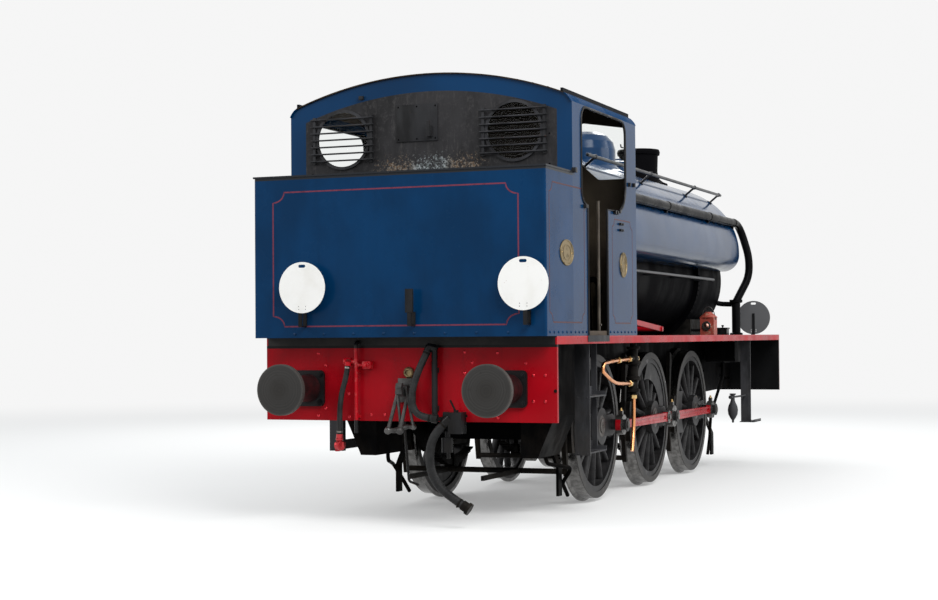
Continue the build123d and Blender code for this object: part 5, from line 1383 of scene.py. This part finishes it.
class LOCO_OT_smooth_pipes(bpy.types.Operator):
    """Ejector pipe with its post, and the injectors' copper pipes, with their long bends"""
    bl_idname = "loco.smooth_pipes"
    bl_label = "Smooth pipes"

    def execute(self, context):
        y, z = -0.925, 2.77 + RAIL
        run = [(CAB_FRONT, y, z), (3.49, y, z), (3.53, -1.03, 2.408), (3.52, -1.03, 2.178),
               (3.4, -0.905, 1.89)]
        shapes = [(tube, bent(run, (0.23, 0.11, 0.11)), 0.045, 24)]
        for x in (-1.6, 0.3, 2.03, 3.2):
            shapes.append((block, (x - 0.014, y, z - 0.07), (x + 0.014, y + 0.075, z - 0.03), 0.004))
            shapes.append((tube, [(x - 0.02, y, z), (x + 0.02, y, z)], 0.0495, 24))
        post_x, post_y = 3.39, -0.9
        post = [(0, 0), (0.075, 0), (0.075, 0.02), (0.05, 0.03), (0.05, 0.375), (0.076, 0.382),
                (0.076, 0.414), (0, 0.414)]
        shapes.append((lathe, post, Matrix.Translation((post_x, post_y, DECK)), 32))
        branch = [(post_x, post_y, 1.848), (post_x, -0.705, 1.856), (3.3, -0.63, 1.89)]
        shapes.append((tube, bent(branch, (0.045,)), 0.029, 16))
        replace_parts(piece("ejector_run", built(*shapes), "pipe"), "ejector_pipe")

        x = -1.58
        shapes = []
        for side in SIDES:
            y = side * 1.11
            steam = [(x - 0.11, y, 1.278), (x - 0.64, y, 1.268), (x - 0.9, y, 1.25), (x - 0.925, y, 1.185),
                     (x - 0.59, y, 1.072), (x - 0.09, y, 1.058)]
            overflow = [(x, y, 0.953), (x, y, 0.7), (x - 0.1, y + side * 0.01, 0.452)]
            shapes.append((tube, bent(steam, (0.15, 0.032, 0.032, 0.17)), 0.017, 16))
            shapes.append((tube, bent(overflow, (0.15,)), 0.017, 16))
        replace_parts(piece("copper_runs", built(*shapes), "copper"), "copper_pipes")
        return {"FINISHED"}


class LOCO_OT_steps(bpy.types.Operator):
    """Front steps, the drip cup on the right one, and the worn patches below the doorways"""
    bl_idname = "loco.steps"
    bl_label = "Steps"

    def execute(self, context):
        foot, top = 0.478 + RAIL, DECK - 0.002
        shapes = []
        for side in SIDES:
            for (x0, y0, z0), (x1, y1, z1) in (((2.588, 1.13, foot), (2.6, 1.244, top)),
                                               ((2.6, 1.13, foot), (2.66, 1.142, top)),
                                               ((2.52, 1.13, foot), (2.87, 1.296, foot + 0.01)),
                                               ((2.52, 1.286, foot), (2.87, 1.296, foot + 0.03))):
                near, far = sorted((side * y0, side * y1))
                shapes.append((block, (x0, near, z0), (x1, far, z1), 0.002))
        cup_x, cup_y, arm_z = 1.985, -1.18, 0.778 + RAIL
        cup = [(0, 0.5), (0.01, 0.5), (0.013, 0.528), (0.026, 0.545), (0.05, 0.59), (0.056, 0.64),
               (0.048, 0.684), (0.03, 0.72), (0.022, 0.746), (0.022, 0.8), (0.034, 0.804),
               (0.034, 0.818), (0, 0.818)]
        arm = [(1.86, cup_y, arm_z + 0.004), (2.2, cup_y, arm_z), (2.59, cup_y, arm_z)]
        shapes.append((lathe, cup, Matrix.Translation((cup_x, cup_y, RAIL)), 28))
        shapes.append((tube, arm, 0.011, 12))
        shapes.append((tube, [(1.865, cup_y, arm_z + 0.004), (1.885, cup_y, arm_z + 0.004)], 0.02, 12))
        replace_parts(piece("front_step_set", built(*shapes), "step"), "front_steps")
        worn = []
        for side in SIDES:
            near, far = sorted((side * (DECK_HALF - 0.02), side * (DECK_HALF + 0.004)))
            worn.append((block, (-3.35, near, 1.413 + RAIL), (-2.77, far, DECK + 0.003), 0.002))
        piece("doorway_sills", built(*worn), "sill")
        return {"FINISHED"}


class LOCO_OT_pipe_unions(bpy.types.Operator):
    """Union nuts and flanges on the injectors' pipes"""
    bl_idname = "loco.pipe_unions"
    bl_label = "Pipe unions"

    def execute(self, context):
        nut = [(0, -0.018), (0.024, -0.018), (0.029, -0.014), (0.029, 0.014), (0.024, 0.018), (0, 0.018)]
        x, y = -1.58, 1.11
        # X, Z and direction of each union
        rows = [
            (x - 0.128, 1.278, BACK), (x - 0.108, 1.058, BACK), (x, 0.936, (0, 0, -1)), (x, 1.376, UP),
            (x + 0.094, 1.278, FRONT), (x - 0.45, 1.2716, (-1, 0, -0.02)),
        ]
        unions = [(lathe, nut, facing((at_x, side * y, at_z), way, 0.3), 6)
                  for at_x, at_z, way in rows for side in SIDES]
        piece("pipe_unions", built(*unions), "brass")
        return {"FINISHED"}


class LOCO_OT_cab_instruments(bpy.types.Operator):
    """Dials, gauge glasses' guards, handles and the firehole's fittings"""
    bl_idname = "loco.cab_instruments"
    bl_label = "Cab instruments"

    def execute(self, context):
        faces, ticks, rims, brasses, irons = ([] for _ in range(5))
        dial_x = CAB_FRONT - 0.068
        needle = Vector((0, -cos(radians(120)), sin(radians(120))))
        # y, z, radius
        for y, z, r in ((-0.23, 2.968, 0.09), (0.04, 2.988, 0.075), (0.28, 2.968, 0.075)):
            centre = Vector((dial_x, y, z))
            place = facing(centre, BACK)
            faces.append((lathe, [(0, 0), (r * 0.86, 0), (r * 0.86, 0.002), (0, 0.002)], place, 36))
            rims.append((lathe, [(r * 0.84, -0.002), (r * 1.04, -0.002), (r * 1.04, 0.008), (r * 0.97, 0.013),
                                 (r * 0.88, 0.011), (r * 0.84, 0.004)], place, 36))
            for k in range(25):
                angle = radians(225 - 11.25 * k)
                spoke = Vector((0, -cos(angle), sin(angle))) * r
                start = centre + Vector((-0.0026, 0, 0))
                inner = 0.76 if k % 4 else 0.7
                ticks.append((tube, [start + spoke * inner, start + spoke * 0.82], 0.0011, 4))
            hub = centre + Vector((-0.005, 0, 0))
            ticks.append((tube, [hub - needle * r * 0.15, hub + needle * r * 0.62], [0.0028, 0.0009], 6))
            ticks.append((lathe, [(0, 0), (r * 0.07, 0), (r * 0.05, 0.006), (0, 0.006)], place, 12))
        back = -2.52
        glass_x = back - 0.06
        for y in (-0.33, 0.33):
            for dx in (-0.03, 0.03):
                for dy in (-0.036, 0.036):
                    rod = [(glass_x + dx, y + dy, z) for z in (2.24, 2.56)]
                    brasses.append((tube, rod, 0.004, 6))
            for z in (2.236, 2.564):
                low, high = (back - 0.1, y - 0.044, z - 0.012), (back - 0.02, y + 0.044, z + 0.012)
                brasses.append((block, low, high, 0.004))
            irons.append((tube, [(glass_x, y, 2.228), (back - 0.09, y - 0.03, 2.15)], 0.007, 8))
        plug = [(0, 0), (0.03, 0), (0.03, 0.012), (0.016, 0.014), (0.016, 0.03), (0, 0.03)]
        for y, z in ((0.42, 1.72), (0.3, 2.33), (0.18, 2.62)):
            brasses += [(lathe, plug, facing((back, side * y, z), BACK), 12) for side in SIDES]
        for y in (-0.12, 0.12):
            irons.append((block, (back - 0.074, y - 0.014, 1.7), (back - 0.058, y + 0.014, 2.08), 0.003))
        handle = [(0, 0), (0.012, 0), (0.012, 0.04), (0.024, 0.052), (0.018, 0.075), (0, 0.08)]
        irons.append((lathe, handle, facing((back - 0.066, 0.15, 1.885), BACK), 16))
        for name, shapes, finish in (("dial_faces", faces, "enamel"), ("dial_marks", ticks, "black"),
                                     ("dial_rims", rims, "brass"), ("backhead_brasses", brasses, "brass"),
                                     ("firehole_irons", irons, "iron")):
            piece(name, built(*shapes), finish)
        return {"FINISHED"}


class LOCO_OT_stage(bpy.types.Operator):
    """Floor, backdrop light, lamps and camera"""
    bl_idname = "loco.stage"
    bl_label = "Studio"

    def execute(self, context):
        scene = context.scene
        settings = scene.studio_settings
        bm = bmesh.new()
        bmesh.ops.create_circle(bm, cap_ends=True, segments=96, radius=90)
        mesh = bpy.data.meshes.new("floor")
        bm.to_mesh(mesh)
        bm.free()
        mesh.materials.append(floor_paint())
        floor = bpy.data.objects.new("floor", mesh)
        scene.collection.objects.link(floor)

        world = bpy.data.worlds.new("studio_world")
        scene.world = world
        world.use_nodes = True
        tree = world.node_tree
        tree.nodes.clear()
        out = tree.nodes.new("ShaderNodeOutputWorld")
        mix = tree.nodes.new("ShaderNodeMixShader")
        tree.links.new(background_rays(tree), mix.inputs["Fac"])
        shades = [((0.93, 0.965, 1, 1), settings.sky), ((1, 1, 1, 1), settings.backdrop)]
        for socket, (colour, strength) in zip(mix.inputs[1:], shades):
            light = tree.nodes.new("ShaderNodeBackground")
            light.inputs["Color"].default_value = colour
            light.inputs["Strength"].default_value = strength
            tree.links.new(light.outputs[0], socket)
        tree.links.new(mix.outputs[0], out.inputs["Surface"])

        # name, place, aim, size across, size up, share of the key's power
        lamps = [
            ("key_lamp", (-9, -7, 9), (-2, 0, 1.5), 7, 5, 1),
            ("side_lamp", (3, -12, 7), (0, 0, 1.5), 9, 5, 0.7),
            ("fill_lamp", (-8, 9, 6), (-2, 0, 1.5), 7, 5, 0.45),
            ("front_lamp", (11, 5, 8), (2, 0, 1.5), 7, 5, 0.6),
        ]
        for name, place, aim, across, up, share in lamps:
            data = bpy.data.lights.new(name, "AREA")
            data.shape = "RECTANGLE"
            data.size = across
            data.size_y = up
            data.energy = settings.key * share
            lamp = bpy.data.objects.new(name, data)
            lamp.location = place
            lamp.rotation_euler = (Vector(aim) - Vector(place)).to_track_quat("-Z", "Y").to_euler()
            scene.collection.objects.link(lamp)

        level_part = cos(CAMERA_PITCH)
        forward = Vector((cos(CAMERA_YAW) * level_part, sin(CAMERA_YAW) * level_part, sin(CAMERA_PITCH)))
        level = forward.cross(Vector((0, 0, 1))).normalized()
        upright = level.cross(forward)
        right = cos(CAMERA_ROLL) * level + sin(CAMERA_ROLL) * upright
        top = -sin(CAMERA_ROLL) * level + cos(CAMERA_ROLL) * upright
        data = bpy.data.cameras.new("camera")
        data.sensor_width = 36
        data.lens = CAMERA_LENS
        data.clip_end = 300
        camera = bpy.data.objects.new("camera", data)
        turn = Matrix((right, top, -forward)).transposed().to_4x4()
        camera.matrix_world = Matrix.Translation(Vector(CAMERA_AT)) @ turn
        scene.collection.objects.link(camera)
        scene.camera = camera
        scene.view_settings.view_transform = "Standard"
        return {"FINISHED"}


class LOCO_PT_panel(bpy.types.Panel):
    """Sizes, colours and pieces of the locomotive"""
    bl_label = "Locomotive"
    bl_idname = "LOCO_PT_panel"
    bl_space_type = "VIEW_3D"
    bl_region_type = "UI"
    bl_category = "Locomotive"

    def draw(self, context):
        for holder, _ in GROUPS:
            group = getattr(context.scene, holder)
            box = self.layout.box()
            for name in group.bl_rna.properties.keys():
                if name not in ("rna_type", "name"):
                    box.prop(group, name)
        for operator in OPERATORS:
            self.layout.operator(operator.bl_idname)


OPERATORS = [
    LOCO_OT_stage,
    LOCO_OT_hoses,
    LOCO_OT_finish_nodes,
    LOCO_OT_fasteners,
    LOCO_OT_wheel_fittings,
    LOCO_OT_lining,
    LOCO_OT_cab_edges,
    LOCO_OT_plates,
    LOCO_OT_cab_back,
    LOCO_OT_tank_fittings,
    LOCO_OT_deck_fittings,
    LOCO_OT_smooth_pipes,
    LOCO_OT_steps,
    LOCO_OT_pipe_unions,
    LOCO_OT_cab_instruments,
]
GROUPS = [
    ("loco_sizes", LocomotiveSizes),
    ("loco_colours", LocomotiveColours),
    ("studio_settings", StudioSettings),
]


def register():
    for name, group in GROUPS:
        bpy.utils.register_class(group)
        setattr(bpy.types.Scene, name, PointerProperty(type=group))
    for operator in OPERATORS:
        bpy.utils.register_class(operator)
    bpy.utils.register_class(LOCO_PT_panel)


def unregister():
    bpy.utils.unregister_class(LOCO_PT_panel)
    for operator in reversed(OPERATORS):
        bpy.utils.unregister_class(operator)
    for name, group in reversed(GROUPS):
        delattr(bpy.types.Scene, name)
        bpy.utils.unregister_class(group)


def main():
    register()
    for operator in OPERATORS:
        family, call = operator.bl_idname.split(".")
        getattr(getattr(bpy.ops, family), call)()


if __name__ == "__main__":
    main()
